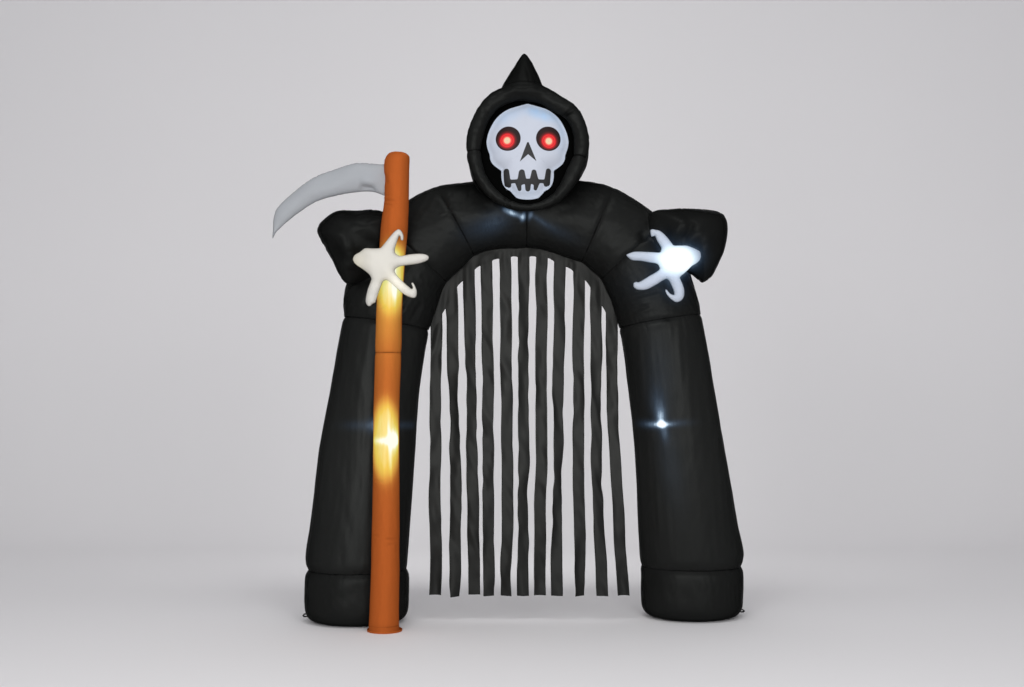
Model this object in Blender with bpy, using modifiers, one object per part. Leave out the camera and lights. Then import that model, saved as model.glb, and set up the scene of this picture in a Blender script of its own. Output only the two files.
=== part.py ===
"""Inflatable walk-through arch, 2.74 m tall, with one filled solid for each sewn piece.

It has two legs with a foot each, an arch of six panels, a hood with its ring, back and peak, a skull,
two sleeves with hands, a scythe and a strip curtain. Metres, +Z up, the front towards -Y. Places are
given from the floor under the middle of the doorway, and ARCH_PLACE then sets the whole arch over the
middle of its own footprint.
"""

import math

import bmesh
import bpy
import numpy as np

ARCH_PLACE = (0.0547, 0.041, 0.0)
SEWN_GAP = 0.0003  # between two pieces that are sewn or pressed together
CUT_GAP = 0.0012  # what a cutter adds all round, so that facets keep clear of each other
SEAM_PINCH = 0.006  # how far a sewn end is drawn in
SEAM_ROLL = 0.022  # how far from a seam the cloth is back at its full size
TUBE_SIDES = 22
RING_SIDES = 10
POLE_SIDES = 20
BLADE_SIDES, BLADE_RINGS = 12, 14
FINGER_SIDES = 8
PALM_SEGMENTS, PALM_RINGS = 12, 7
LOOP_SIDES = 14

# How far past its first row and short of its last row a leg has a ring more, in rows.
LEG_RING_PAST_YOKE, LEG_RING_OVER_CINCH = 0.18, 0.4

# Bags that run along a path are tables of sections. A section is an ellipse, across from its inner to its
# outer point, seen from the front, and half_deep to the front and to the back of mid_y.
# inner_x, inner_z, outer_x, outer_z, mid_y, half_deep
LEFT_YOKE = (-0.481, 1.420, -0.901, 1.484, 0.0, 0.200)
RIGHT_YOKE = (0.457, 1.429, 0.860, 1.496, 0.0, 0.200)
LEFT_CINCH = (-0.590, 0.250, -1.062, 0.250, 0.0, 0.213)
RIGHT_CINCH = (0.578, 0.250, 1.066, 0.250, 0.130, 0.213)

ARCH = (
    LEFT_YOKE,
    (-0.450, 1.520, -0.885, 1.653, 0.0, 0.200),
    (-0.420, 1.605, -0.810, 1.812, 0.0, 0.198),
    (-0.393, 1.662, -0.712, 1.940, 0.0, 0.195),
    (-0.330, 1.738, -0.585, 2.056, 0.0, 0.192),
    (-0.258, 1.794, -0.447, 2.130, 0.0, 0.188),
    (-0.135, 1.821, -0.225, 2.160, 0.0, 0.186),
    (0.000, 1.825, 0.000, 2.168, 0.0, 0.185),
    (0.140, 1.803, 0.222, 2.160, 0.0, 0.186),
    (0.272, 1.753, 0.432, 2.124, 0.0, 0.188),
    (0.325, 1.713, 0.570, 2.043, 0.0, 0.192),
    (0.368, 1.668, 0.680, 1.945, 0.0, 0.195),
    (0.408, 1.592, 0.775, 1.810, 0.0, 0.198),
    (0.434, 1.520, 0.842, 1.660, 0.0, 0.200),
    RIGHT_YOKE,
)
# name, first row and last row in ARCH, rings
ARCH_PANELS = (
    ("haunch_left", 0, 3, 7),
    ("shoulder_left", 3, 5, 6),
    ("crown_left", 5, 7, 6),
    ("crown_right", 7, 9, 6),
    ("shoulder_right", 9, 11, 6),
    ("haunch_right", 11, 14, 7),
)

LEFT_LEG = (
    LEFT_YOKE,
    (-0.505, 1.296, -0.932, 1.311, 0.0, 0.203),
    (-0.534, 1.084, -0.970, 1.084, 0.0, 0.207),
    (-0.548, 0.819, -1.019, 0.819, 0.0, 0.213),
    (-0.566, 0.502, -1.056, 0.502, 0.0, 0.222),
    (-0.578, 0.347, -1.079, 0.347, 0.0, 0.226),
    (-0.582, 0.300, -1.079, 0.300, 0.0, 0.226),
    LEFT_CINCH,
)
RIGHT_LEG = (
    RIGHT_YOKE,
    (0.483, 1.302, 0.891, 1.332, 0.014, 0.203),
    (0.506, 1.124, 0.927, 1.124, 0.036, 0.207),
    (0.529, 0.926, 0.964, 0.926, 0.058, 0.212),
    (0.545, 0.677, 1.013, 0.677, 0.085, 0.218),
    (0.553, 0.493, 1.044, 0.493, 0.105, 0.222),
    (0.562, 0.342, 1.076, 0.342, 0.121, 0.226),
    (0.567, 0.300, 1.078, 0.300, 0.126, 0.226),
    RIGHT_CINCH,
)
LEFT_FOOT = (
    LEFT_CINCH,
    (-0.575, 0.215, -1.080, 0.215, 0.0, 0.226),
    (-0.573, 0.150, -1.082, 0.150, 0.0, 0.228),
    (-0.574, 0.090, -1.082, 0.090, 0.0, 0.228),
    (-0.580, 0.045, -1.076, 0.045, 0.0, 0.222),
    (-0.600, 0.014, -1.056, 0.014, 0.0, 0.202),
    (-0.640, 0.000, -1.015, 0.000, 0.0, 0.168),
)
RIGHT_FOOT = (
    RIGHT_CINCH,
    (0.570, 0.215, 1.081, 0.215, 0.130, 0.226),
    (0.569, 0.150, 1.081, 0.150, 0.130, 0.228),
    (0.571, 0.090, 1.079, 0.090, 0.130, 0.228),
    (0.578, 0.045, 1.073, 0.045, 0.130, 0.222),
    (0.600, 0.014, 1.050, 0.014, 0.130, 0.202),
    (0.640, 0.000, 1.010, 0.000, 0.130, 0.168),
)

# The scythe stands in front of the left leg. Its tube is joined part of the way up.
POLE_Y = -0.272
POLE_LOWER = (
    (-0.583, 0.000, -0.745, 0.000, POLE_Y, 0.080),
    (-0.583, 0.010, -0.745, 0.010, POLE_Y, 0.080),
    (-0.597, 0.024, -0.738, 0.024, POLE_Y, 0.070),
    (-0.597, 0.277, -0.729, 0.277, POLE_Y, 0.066),
    (-0.597, 0.660, -0.724, 0.660, POLE_Y, 0.064),
    (-0.600, 1.036, -0.722, 1.036, POLE_Y, 0.061),
    (-0.593, 1.295, -0.715, 1.295, POLE_Y, 0.061),
)
POLE_UPPER = (
    POLE_LOWER[-1],
    (-0.588, 1.526, -0.708, 1.526, POLE_Y, 0.060),
    (-0.570, 1.785, -0.698, 1.785, POLE_Y, 0.062),
    (-0.562, 1.901, -0.691, 1.901, POLE_Y, 0.062),
    (-0.559, 2.030, -0.676, 2.030, POLE_Y, 0.059),
    (-0.558, 2.163, -0.678, 2.163, POLE_Y, 0.060),
    (-0.557, 2.210, -0.676, 2.210, POLE_Y, 0.060),
)
POLE_CAP = (
    POLE_UPPER[-1],
    (-0.565, 2.232, -0.668, 2.232, POLE_Y, 0.052),
    (-0.590, 2.245, -0.644, 2.245, POLE_Y, 0.027),
    (-0.608, 2.248, -0.626, 2.248, POLE_Y, 0.009),
)
BLADE = (
    (-0.655, 2.036, -0.655, 2.187, POLE_Y, 0.044),
    (-0.730, 2.058, -0.750, 2.192, POLE_Y, 0.040),
    (-0.806, 2.058, -0.840, 2.189, POLE_Y, 0.038),
    (-0.896, 2.044, -0.944, 2.154, POLE_Y, 0.035),
    (-0.990, 2.015, -1.060, 2.092, POLE_Y, 0.030),
    (-1.075, 1.965, -1.150, 2.012, POLE_Y, 0.024),
    (-1.115, 1.933, -1.188, 1.965, POLE_Y, 0.020),
    (-1.150, 1.901, -1.200, 1.925, POLE_Y, 0.015),
    (-1.180, 1.872, -1.203, 1.885, POLE_Y, 0.009),
    (-1.201, 1.846, -1.205, 1.850, POLE_Y, 0.003),
)
PEAK = (
    (0.095, 2.530, -0.137, 2.530, -0.185, 0.105),
    (0.080, 2.576, -0.120, 2.576, -0.188, 0.092),
    (0.047, 2.649, -0.076, 2.649, -0.193, 0.058),
    (0.022, 2.700, -0.046, 2.700, -0.197, 0.034),
    (0.005, 2.730, -0.029, 2.730, -0.199, 0.017),
    (-0.007, 2.742, -0.018, 2.742, -0.200, 0.005),
)

# The hood's ring goes round the face, clockwise from its left seam. The angle is from +X.
HEAD_X, HEAD_Z = 0.003, 2.284
HOOD_RADIUS = 0.300
RING_Y = -0.245
RING_DEPTH, RING_DEPTH_PER_BAND = 0.022, 0.3  # half its depth is the first, and the second times its band
RING_SEAM_STEP = 0.35  # rows from a ring seam to its first full section
# angle_deg, outer_radius, band
RING = (
    (180, 0.294, 0.071),
    (157, 0.294, 0.074),
    (131, 0.306, 0.080),
    (112, 0.306, 0.084),
    (90, 0.300, 0.084),
    (77, 0.300, 0.084),
    (56, 0.286, 0.080),
    (35, 0.301, 0.078),
    (18, 0.298, 0.073),
    (-8, 0.290, 0.070),
    (-36, 0.289, 0.066),
    (-67, 0.312, 0.050),
    (-92, 0.317, 0.040),
    (-109, 0.315, 0.046),
    (-146, 0.302, 0.064),
)
RIGHT_RING_SEAM = 9  # the row of RING where its upper and lower halves meet on the right
# y, share of the ring's outer radius
HOOD_BACK = (
    (-0.197, 0.900),
    (-0.175, 0.965),
    (-0.120, 0.995),
    (-0.040, 0.985),
    (0.040, 0.920),
    (0.110, 0.780),
    (0.168, 0.540),
    (0.200, 0.170),
)

# Pillows have an outline in the front view and are blown up to the front and to the back of mid_y.
PILLOW_ANGLES_DEG = (-84, -66, -45, -24, 0, 24, 45, 66, 84)
# Half of the skull's outline, from the crown down to the chin: x, z
SKULL_HALF = (
    (0.000, 2.491),
    (0.075, 2.472),
    (0.132, 2.435),
    (0.168, 2.390),
    (0.191, 2.340),
    (0.197, 2.305),
    (0.186, 2.262),
    (0.178, 2.232),
    (0.162, 2.197),
    (0.132, 2.172),
    (0.127, 2.138),
    (0.121, 2.103),
    (0.101, 2.072),
    (0.079, 2.061),
    (0.045, 2.031),
    (0.000, 2.022),
)
SKULL_MID_Y, SKULL_FRONT, SKULL_BACK = -0.224, 0.068, 0.026

# x, z, going round each sleeve: the edge at the shoulder, the elbow, and the hem
LEFT_SLEEVE = (
    (-0.600, 1.970),
    (-0.702, 1.988),
    (-0.814, 1.989),
    (-0.925, 1.984),
    (-0.988, 1.940),
    (-1.011, 1.892),
    (-0.998, 1.850),
    (-0.938, 1.744),
    (-0.878, 1.642),
    (-0.800, 1.640),
    (-0.690, 1.700),
    (-0.600, 1.840),
)
RIGHT_SLEEVE = (
    (0.600, 1.978),
    (0.715, 1.993),
    (0.826, 1.998),
    (0.914, 1.988),
    (0.957, 1.961),
    (0.971, 1.897),
    (0.948, 1.783),
    (0.900, 1.684),
    (0.853, 1.643),
    (0.790, 1.690),
    (0.690, 1.745),
    (0.600, 1.850),
)
SLEEVE_MID_Y, SLEEVE_FRONT, SLEEVE_BACK = -0.130, 0.175, 0.150
LEFT_SLEEVE_MIDDLE = (-0.850, 1.840)
RIGHT_SLEEVE_MIDDLE = (0.820, 1.850)

# Each hand is a palm with four fingers and a wrist, all blown up round.
LEFT_PALM = (-0.672, 1.712)
RIGHT_PALM = (0.690, 1.722)
PALM_HALF_SIZE = (0.082, 0.042, 0.066)
LEFT_HAND_Y, RIGHT_HAND_Y = -0.378, -0.345
# x, z, half_width, back: `back` is how far the middle of the finger lies behind the palm's middle
LEFT_FINGERS = {
    "up": (
        (-0.672, 1.712, 0.048, 0.0),
        (-0.650, 1.785, 0.036, 0.0),
        (-0.620, 1.838, 0.026, 0.0),
        (-0.602, 1.852, 0.018, 0.0),
        (-0.588, 1.846, 0.011, 0.0),
        (-0.583, 1.824, 0.006, 0.0),
    ),
    "pointing": (
        (-0.672, 1.722, 0.046, 0.0),
        (-0.590, 1.729, 0.030, 0.0),
        (-0.520, 1.736, 0.026, 0.0),
        (-0.480, 1.739, 0.020, 0.0),
        (-0.462, 1.739, 0.010, 0.0),
    ),
    "low": (
        (-0.660, 1.700, 0.046, 0.0),
        (-0.605, 1.635, 0.034, 0.0),
        (-0.560, 1.596, 0.027, 0.0),
        (-0.528, 1.578, 0.019, 0.0),
    ),
    "spur": (
        (-0.548, 1.586, 0.016, 0.0),
        (-0.529, 1.597, 0.011, 0.0),
        (-0.532, 1.617, 0.005, 0.0),
    ),
    "thumb": (
        (-0.690, 1.690, 0.050, 0.0),
        (-0.707, 1.620, 0.034, 0.0),
        (-0.722, 1.560, 0.027, 0.0),
        (-0.730, 1.530, 0.018, 0.0),
    ),
    "wrist": (
        (-0.690, 1.720, 0.060, 0.0),
        (-0.750, 1.738, 0.045, 0.010),
        (-0.790, 1.742, 0.036, 0.045),
        (-0.800, 1.760, 0.030, 0.105),
    ),
}
RIGHT_FINGERS = {
    "up": (
        (0.690, 1.722, 0.050, 0.0),
        (0.655, 1.790, 0.036, 0.0),
        (0.622, 1.840, 0.027, 0.0),
        (0.600, 1.858, 0.020, 0.0),
        (0.588, 1.850, 0.013, 0.0),
    ),
    "pointing": (
        (0.690, 1.740, 0.046, 0.0),
        (0.600, 1.745, 0.029, 0.0),
        (0.530, 1.751, 0.025, 0.0),
        (0.490, 1.752, 0.018, 0.0),
        (0.468, 1.751, 0.007, 0.0),
    ),
    "low": (
        (0.690, 1.710, 0.048, 0.0),
        (0.620, 1.655, 0.034, 0.0),
        (0.555, 1.618, 0.027, 0.0),
        (0.515, 1.608, 0.020, 0.0),
    ),
    "thumb": (
        (0.700, 1.700, 0.050, 0.0),
        (0.722, 1.630, 0.034, 0.0),
        (0.718, 1.570, 0.028, 0.0),
        (0.700, 1.548, 0.020, 0.0),
        (0.672, 1.562, 0.012, 0.0),
        (0.654, 1.584, 0.007, 0.0),
    ),
    "wrist": (
        (0.700, 1.730, 0.060, 0.0),
        (0.755, 1.750, 0.044, 0.012),
        (0.792, 1.756, 0.034, 0.045),
        (0.800, 1.775, 0.028, 0.105),
    ),
}

# The curtain is one comb: a heading under the arch, slit into strips that turn as they hang.
CURTAIN_THICK = 0.0025
CURTAIN_CLEARANCE = 0.003  # from the heading to the arch
STRIP_WIDTH = 0.058
STRIP_ROWS = 7
SWAY_HALF_WAVES = 2.6  # from the top of a strip to its hem
SLIT_TOPS = (1.400, 1.524, 1.664, 1.734, 1.774, 1.787, 1.787, 1.774, 1.732, 1.664, 1.528, 1.408)
# top_x, mid_x, hem_x, mid_turn_deg, hem_turn_deg, sway, hem_z
STRIPS = (
    (-0.445, -0.447, -0.446, 12, -6, 0.016, 0.121),
    (-0.371, -0.351, -0.349, -26, 32, -0.012, 0.117),
    (-0.285, -0.268, -0.256, 32, -8, 0.018, 0.123),
    (-0.198, -0.190, -0.185, -8, 22, 0.010, 0.118),
    (-0.106, -0.096, -0.098, 10, -24, -0.016, 0.122),
    (-0.014, -0.015, -0.017, 28, -6, 0.014, 0.118),
    (0.077, 0.072, 0.064, -6, 8, 0.020, 0.119),
    (0.166, 0.155, 0.149, 34, -10, -0.014, 0.122),
    (0.260, 0.256, 0.263, -22, 24, 0.012, 0.117),
    (0.344, 0.345, 0.368, 20, -8, -0.018, 0.121),
    (0.421, 0.434, 0.474, -14, 6, 0.016, 0.118),
)

# A webbing loop for a ground peg at the outer edge of each foot.
LOOP_LENGTH, LOOP_HEIGHT, LOOP_BAND, LOOP_WIDTH = 0.036, 0.018, 0.002, 0.020
LOOP_Z = 0.026

COLOURS = {
    "black_cloth": ((0.012, 0.012, 0.014), 0.42),
    "curtain_cloth": ((0.030, 0.030, 0.032), 0.60),
    "skull_cloth": ((0.80, 0.85, 0.95), 0.45),
    "hand_cloth": ((0.82, 0.80, 0.77), 0.50),
    "pole_cloth": ((0.42, 0.17, 0.055), 0.45),
    "blade_cloth": ((0.42, 0.43, 0.45), 0.45),
    "webbing": ((0.015, 0.015, 0.016), 0.75),
}


# ---- rows and rings --------------------------------------------------------------------------------


def row_at(rows, place, turn=None):
    """The row at `place` (0 is the first, 1 the second ...) on a Catmull-Rom curve through all rows.

    With `turn`, the rows close into a loop, and `turn` is what one full loop adds to each column.
    """
    rows = np.array(rows, float)
    count = len(rows)
    base = min(int(math.floor(place)), count - 2) if turn is None else int(math.floor(place))
    share = place - base

    def row(index):
        if turn is not None:
            return rows[index % count] + (index // count) * np.array(turn, float)
        if index < 0:
            return 2 * rows[0] - rows[1]
        if index >= count:
            return 2 * rows[-1] - rows[-2]
        return rows[index]

    before, first, second, after = (row(base + k) for k in (-1, 0, 1, 2))
    return 0.5 * (
        2 * first
        + (second - before) * share
        + (2 * before - 5 * first + 4 * second - after) * share**2
        + (3 * first - before - 3 * second + after) * share**3
    )


def section_ring(section, sides, grow=0.0):
    """The section's ellipse as points, made larger all round by `grow`."""
    inner_x, inner_z, outer_x, outer_z, mid_y, half_deep = section
    middle = np.array(((inner_x + outer_x) / 2, mid_y, (inner_z + outer_z) / 2))
    across = np.array(((outer_x - inner_x) / 2, 0.0, (outer_z - inner_z) / 2))
    half_across = np.linalg.norm(across)
    turn = np.arange(sides) * 2 * math.pi / sides
    return (
        middle
        + np.outer(np.cos(turn) * (1 + grow / half_across), across)
        + np.outer(np.sin(turn) * (half_deep + grow), (0.0, 1.0, 0.0))
    )


def section_normal(section, towards):
    """The unit vector square to the section's plane, on the side of the point `towards`."""
    inner_x, inner_z, outer_x, outer_z = section[:4]
    normal = np.array((inner_z - outer_z, 0.0, outer_x - inner_x))
    normal /= np.linalg.norm(normal)
    middle = np.array(((inner_x + outer_x) / 2, 0.0, (inner_z + outer_z) / 2))
    return normal if np.dot(normal, towards - middle) > 0 else -normal


# ---- objects ---------------------------------------------------------------------------------------


def clear_scene():
    for obj in list(bpy.data.objects):
        bpy.data.objects.remove(obj, do_unlink=True)


def make_material(name):
    colour, roughness = COLOURS[name]
    material = bpy.data.materials.new(name)
    material.use_nodes = True
    shader = material.node_tree.nodes["Principled BSDF"]
    shader.inputs["Base Color"].default_value = (*colour, 1.0)
    shader.inputs["Roughness"].default_value = roughness
    shader.inputs["Metallic"].default_value = 0.0
    return material


def mesh_object(name, points, faces, material=None, smooth=True):
    """An object from points and faces, with its faces turned outwards. It has a material, or it cuts."""
    mesh = bpy.data.meshes.new(name)
    mesh.from_pydata([tuple(point) for point in points], [], faces)
    shape = bmesh.new()
    shape.from_mesh(mesh)
    bmesh.ops.recalc_face_normals(shape, faces=shape.faces)
    shape.to_mesh(mesh)
    shape.free()
    obj = bpy.data.objects.new(name, mesh)
    if material is None:
        CUTTERS.objects.link(obj)
        obj.hide_render = True
        obj.display_type = "WIRE"
    else:
        PIECES.objects.link(obj)
        mesh.materials.append(MATERIALS[material])
        if smooth:
            mesh.shade_smooth()
            mesh.set_sharp_from_angle(angle=math.radians(50))
    obj.parent = PLACE
    return obj


def loft(name, rings, material=None):
    """A closed solid through rings of equally many points, with a flat face on its first and last."""
    count = len(rings[0])
    faces = []
    for ring in range(len(rings) - 1):
        for k in range(count):
            here, there = ring * count + k, ring * count + (k + 1) % count
            faces.append((here, there, there + count, here + count))
    faces.append(tuple(range(count)))
    faces.append(tuple(range((len(rings) - 1) * count, len(rings) * count)))
    return mesh_object(name, np.vstack(rings), faces, material)


def bag(name, sections, material=None, grow=0.0, sides=TUBE_SIDES, sewn=(False, False)):
    """A filled bag through the sections. A sewn end keeps half the sewn gap to its seam."""
    rings = [section_ring(section, sides, grow) for section in sections]
    for end, neighbour in ((0, 1), (-1, -2)):
        if sewn[end]:
            inward = section_normal(sections[end], rings[neighbour].mean(axis=0))
            rings[end] = rings[end] + inward * (SEWN_GAP / 2)
    return loft(name, rings, material)


def drawn_in(section, amount):
    """The section made smaller all round by `amount`."""
    inner_x, inner_z, outer_x, outer_z, mid_y, half_deep = section
    length = math.hypot(outer_x - inner_x, outer_z - inner_z)
    step_x = (outer_x - inner_x) / length * amount
    step_z = (outer_z - inner_z) / length * amount
    inner, outer = (inner_x + step_x, inner_z + step_z), (outer_x - step_x, outer_z - step_z)
    return (*inner, *outer, mid_y, half_deep - amount)


def panel_sections(rows, start, end, rings, turn=None):
    """Sections from `start` to `end` in a table, drawn in at both ends and full SEAM_ROLL further on."""

    def middle(place):
        row = row_at(rows, place, turn)
        return np.array((row[0] + row[2], row[1] + row[3])) / 2

    def roll(place, step):
        return SEAM_ROLL * step / np.linalg.norm(middle(place + step) - middle(place))

    inside = np.linspace(start + roll(start, 0.1), end + roll(end, -0.1), rings - 2)
    sections = [row_at(rows, place, turn) for place in inside]
    first = drawn_in(row_at(rows, start, turn), SEAM_PINCH)
    last = drawn_in(row_at(rows, end, turn), SEAM_PINCH)
    return [first, *sections, last]


def pillow(name, outline, middle, mid_y, front, back, material=None, grow=0.0):
    """A bag of two panels sewn along an outline, blown up by `front` and `back` off the seam's plane.

    Each ring is the outline drawn towards `middle` to the cosine of an angle, and stands off the seam's
    plane by its sine, so that the side is a quarter of an ellipse.
    """
    flat = np.array(outline, float) - middle
    reach = np.linalg.norm(flat, axis=1)[:, None]
    flat = flat * (reach + grow) / reach
    rings = []
    for angle in np.radians(PILLOW_ANGLES_DEG):
        bulge = (front + grow) if angle < 0 else (back + grow)
        ring = np.empty((len(flat), 3))
        ring[:, 0] = middle[0] + flat[:, 0] * math.cos(angle)
        ring[:, 1] = mid_y + bulge * math.sin(angle)
        ring[:, 2] = middle[1] + flat[:, 1] * math.cos(angle)
        rings.append(ring)
    return loft(name, rings, material)


def closed_curve(points, steps):
    """Points on a closed Catmull-Rom curve, `steps` to each interval."""
    turn = (0.0,) * len(points[0])
    return [row_at(points, k / steps, turn) for k in range(len(points) * steps)]


def cut(obj, *cutters):
    for cutter in cutters:
        modifier = obj.modifiers.new("cut_" + cutter.name, "BOOLEAN")
        modifier.operation = "DIFFERENCE"
        modifier.solver = "EXACT"
        modifier.object = cutter


def join(obj, *others):
    for other in others:
        modifier = obj.modifiers.new("join_" + other.name, "BOOLEAN")
        modifier.operation = "UNION"
        modifier.solver = "EXACT"
        modifier.object = other


# ---- the pieces ------------------------------------------------------------------------------------


def make_legs():
    for side, leg, foot in (("left", LEFT_LEG, LEFT_FOOT), ("right", RIGHT_LEG, RIGHT_FOOT)):
        upper = [drawn_in(leg[0], SEAM_PINCH), row_at(leg, LEG_RING_PAST_YOKE)]
        lower = [row_at(leg, len(leg) - 1 - LEG_RING_OVER_CINCH)]
        bag(f"{side}_leg", [*upper, *leg[1:-1], *lower, leg[-1]], "black_cloth", sewn=(True, True))
        bag(f"{side}_foot", foot, "black_cloth", sewn=(True, False))


def make_arch():
    for name, start, end, rings in ARCH_PANELS:
        bag(name, panel_sections(ARCH, start, end, rings), "black_cloth", sewn=(True, True))


def make_body_cutters():
    """The arch with its legs, and the scythe's pole, each a little larger than the real ones."""
    rows = [*reversed(LEFT_LEG[1:]), *ARCH, *RIGHT_LEG[1:]]
    places = np.arange(0, len(rows) - 0.5, 0.5)
    body = bag("body_cutter", [row_at(rows, place) for place in places], grow=CUT_GAP)
    pole = bag("pole_cutter", [*POLE_LOWER[2:], *POLE_UPPER[1:]], grow=CUT_GAP)
    return body, pole


def ring_section(place):
    """A section of the hood's ring, from the table of its angles."""
    angle, radius, band = row_at(RING, place, (-360, 0, 0))
    dir_x, dir_z = math.cos(math.radians(angle)), math.sin(math.radians(angle))
    inner = radius - band
    half_deep = RING_DEPTH + RING_DEPTH_PER_BAND * band
    return (
        HEAD_X + inner * dir_x,
        HEAD_Z + inner * dir_z,
        HEAD_X + radius * dir_x,
        HEAD_Z + radius * dir_z,
        RING_Y,
        half_deep,
    )


def make_hood(body_cutter):
    for name, start, end, rings in (
        ("hood_ring_upper", 0, RIGHT_RING_SEAM, 15),
        ("hood_ring_lower", RIGHT_RING_SEAM, len(RING), 13),
    ):
        places = np.linspace(start + RING_SEAM_STEP, end - RING_SEAM_STEP, rings)
        inside = [ring_section(place) for place in places]
        first = drawn_in(ring_section(start), SEAM_PINCH)
        last = drawn_in(ring_section(end), SEAM_PINCH)
        bag(name, [first, *inside, last], "black_cloth", sides=RING_SIDES, sewn=(True, True))
        if start == 0:
            ring_cutter = bag("ring_cutter", inside, grow=CUT_GAP, sides=RING_SIDES)

    outline = []
    for place in np.arange(0, len(RING), 0.5):
        angle, radius, _ = row_at(RING, place, (-360, 0, 0))
        outline.append((math.cos(math.radians(angle)) * radius, math.sin(math.radians(angle)) * radius))
    outline = np.array(outline)

    def dome(name, grow, material=None):
        wider = 1 + grow / HOOD_RADIUS
        rings = []
        for y, share in HOOD_BACK:
            ring = np.empty((len(outline), 3))
            ring[:, 0] = HEAD_X + outline[:, 0] * share * wider
            ring[:, 1] = y + (grow if y > 0 else -grow)
            ring[:, 2] = HEAD_Z + outline[:, 1] * share * wider
            rings.append(ring)
        return loft(name, rings, material)

    back = dome("hood_back", 0.0, "black_cloth")
    cut(back, body_cutter)
    peak = bag("hood_peak", PEAK, "black_cloth", sides=POLE_SIDES)
    cut(peak, dome("dome_cutter", CUT_GAP), ring_cutter)


def make_skull():
    half = [(x + HEAD_X, z) for x, z in SKULL_HALF]
    other = [(HEAD_X - x, z) for x, z in reversed(SKULL_HALF[1:-1])]
    middle = (HEAD_X, 2.250)
    pillow("skull", half + other, middle, SKULL_MID_Y, SKULL_FRONT, SKULL_BACK, "skull_cloth")


def make_sleeves(body_cutter, pole_cutter):
    cutters = []
    for side, outline, middle in (
        ("left", LEFT_SLEEVE, LEFT_SLEEVE_MIDDLE),
        ("right", RIGHT_SLEEVE, RIGHT_SLEEVE_MIDDLE),
    ):
        edge = closed_curve(outline, 2)
        sizes = (middle, SLEEVE_MID_Y, SLEEVE_FRONT, SLEEVE_BACK)
        sleeve = pillow(f"{side}_sleeve", edge, *sizes, "black_cloth")
        cut(sleeve, body_cutter)
        if side == "left":
            cut(sleeve, pole_cutter)
        cutters.append(pillow(f"{side}_sleeve_cutter", edge, *sizes, grow=CUT_GAP))
    return cutters


def finger_rings(rows, hand_y):
    """Round rings along a finger, square to its middle line, each turned as little as the bend allows."""
    fine = np.array([row_at(rows, place) for place in np.linspace(0, len(rows) - 1, len(rows) + 2)])
    middles = np.column_stack((fine[:, 0], hand_y + fine[:, 3], fine[:, 1]))
    tangents = np.gradient(middles, axis=0)
    tangents /= np.linalg.norm(tangents, axis=1)[:, None]
    across = np.cross(tangents[0], (0.0, 1.0, 0.0))
    turn = np.arange(FINGER_SIDES) * 2 * math.pi / FINGER_SIDES
    rings = []
    for middle, tangent, half_width in zip(middles, tangents, fine[:, 2]):
        across = across - np.dot(across, tangent) * tangent
        across /= np.linalg.norm(across)
        deep = np.cross(tangent, across)
        rings.append(middle + half_width * (np.outer(np.cos(turn), across) + np.outer(np.sin(turn), deep)))
    return rings


def make_hand(side, palm, fingers, hand_y, *cutters):
    """A palm, blown up round, with its fingers and wrist joined to it."""
    shape = bmesh.new()
    bmesh.ops.create_uvsphere(shape, u_segments=PALM_SEGMENTS, v_segments=PALM_RINGS, radius=1.0)
    bmesh.ops.scale(shape, vec=PALM_HALF_SIZE, verts=shape.verts)
    bmesh.ops.translate(shape, vec=(palm[0], hand_y, palm[1]), verts=shape.verts)
    points = [vert.co[:] for vert in shape.verts]
    faces = [[vert.index for vert in face.verts] for face in shape.faces]
    shape.free()
    hand = mesh_object(f"{side}_hand", points, faces, "hand_cloth")
    join(hand, *(loft(f"{side}_{name}_shape", finger_rings(rows, hand_y)) for name, rows in fingers.items()))
    cut(hand, *cutters)


def make_scythe(pole_cutter):
    bag("scythe_pole_lower", POLE_LOWER, "pole_cloth", sides=POLE_SIDES, sewn=(False, True))
    bag("scythe_pole_upper", POLE_UPPER, "pole_cloth", sides=POLE_SIDES, sewn=(True, True))
    bag("scythe_pole_cap", POLE_CAP, "pole_cloth", sides=POLE_SIDES, sewn=(True, False))
    blade_rows = [row_at(BLADE, place) for place in np.linspace(0, len(BLADE) - 1, BLADE_RINGS)]
    cut(bag("scythe_blade", blade_rows, "blade_cloth", sides=BLADE_SIDES), pole_cutter)


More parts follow.
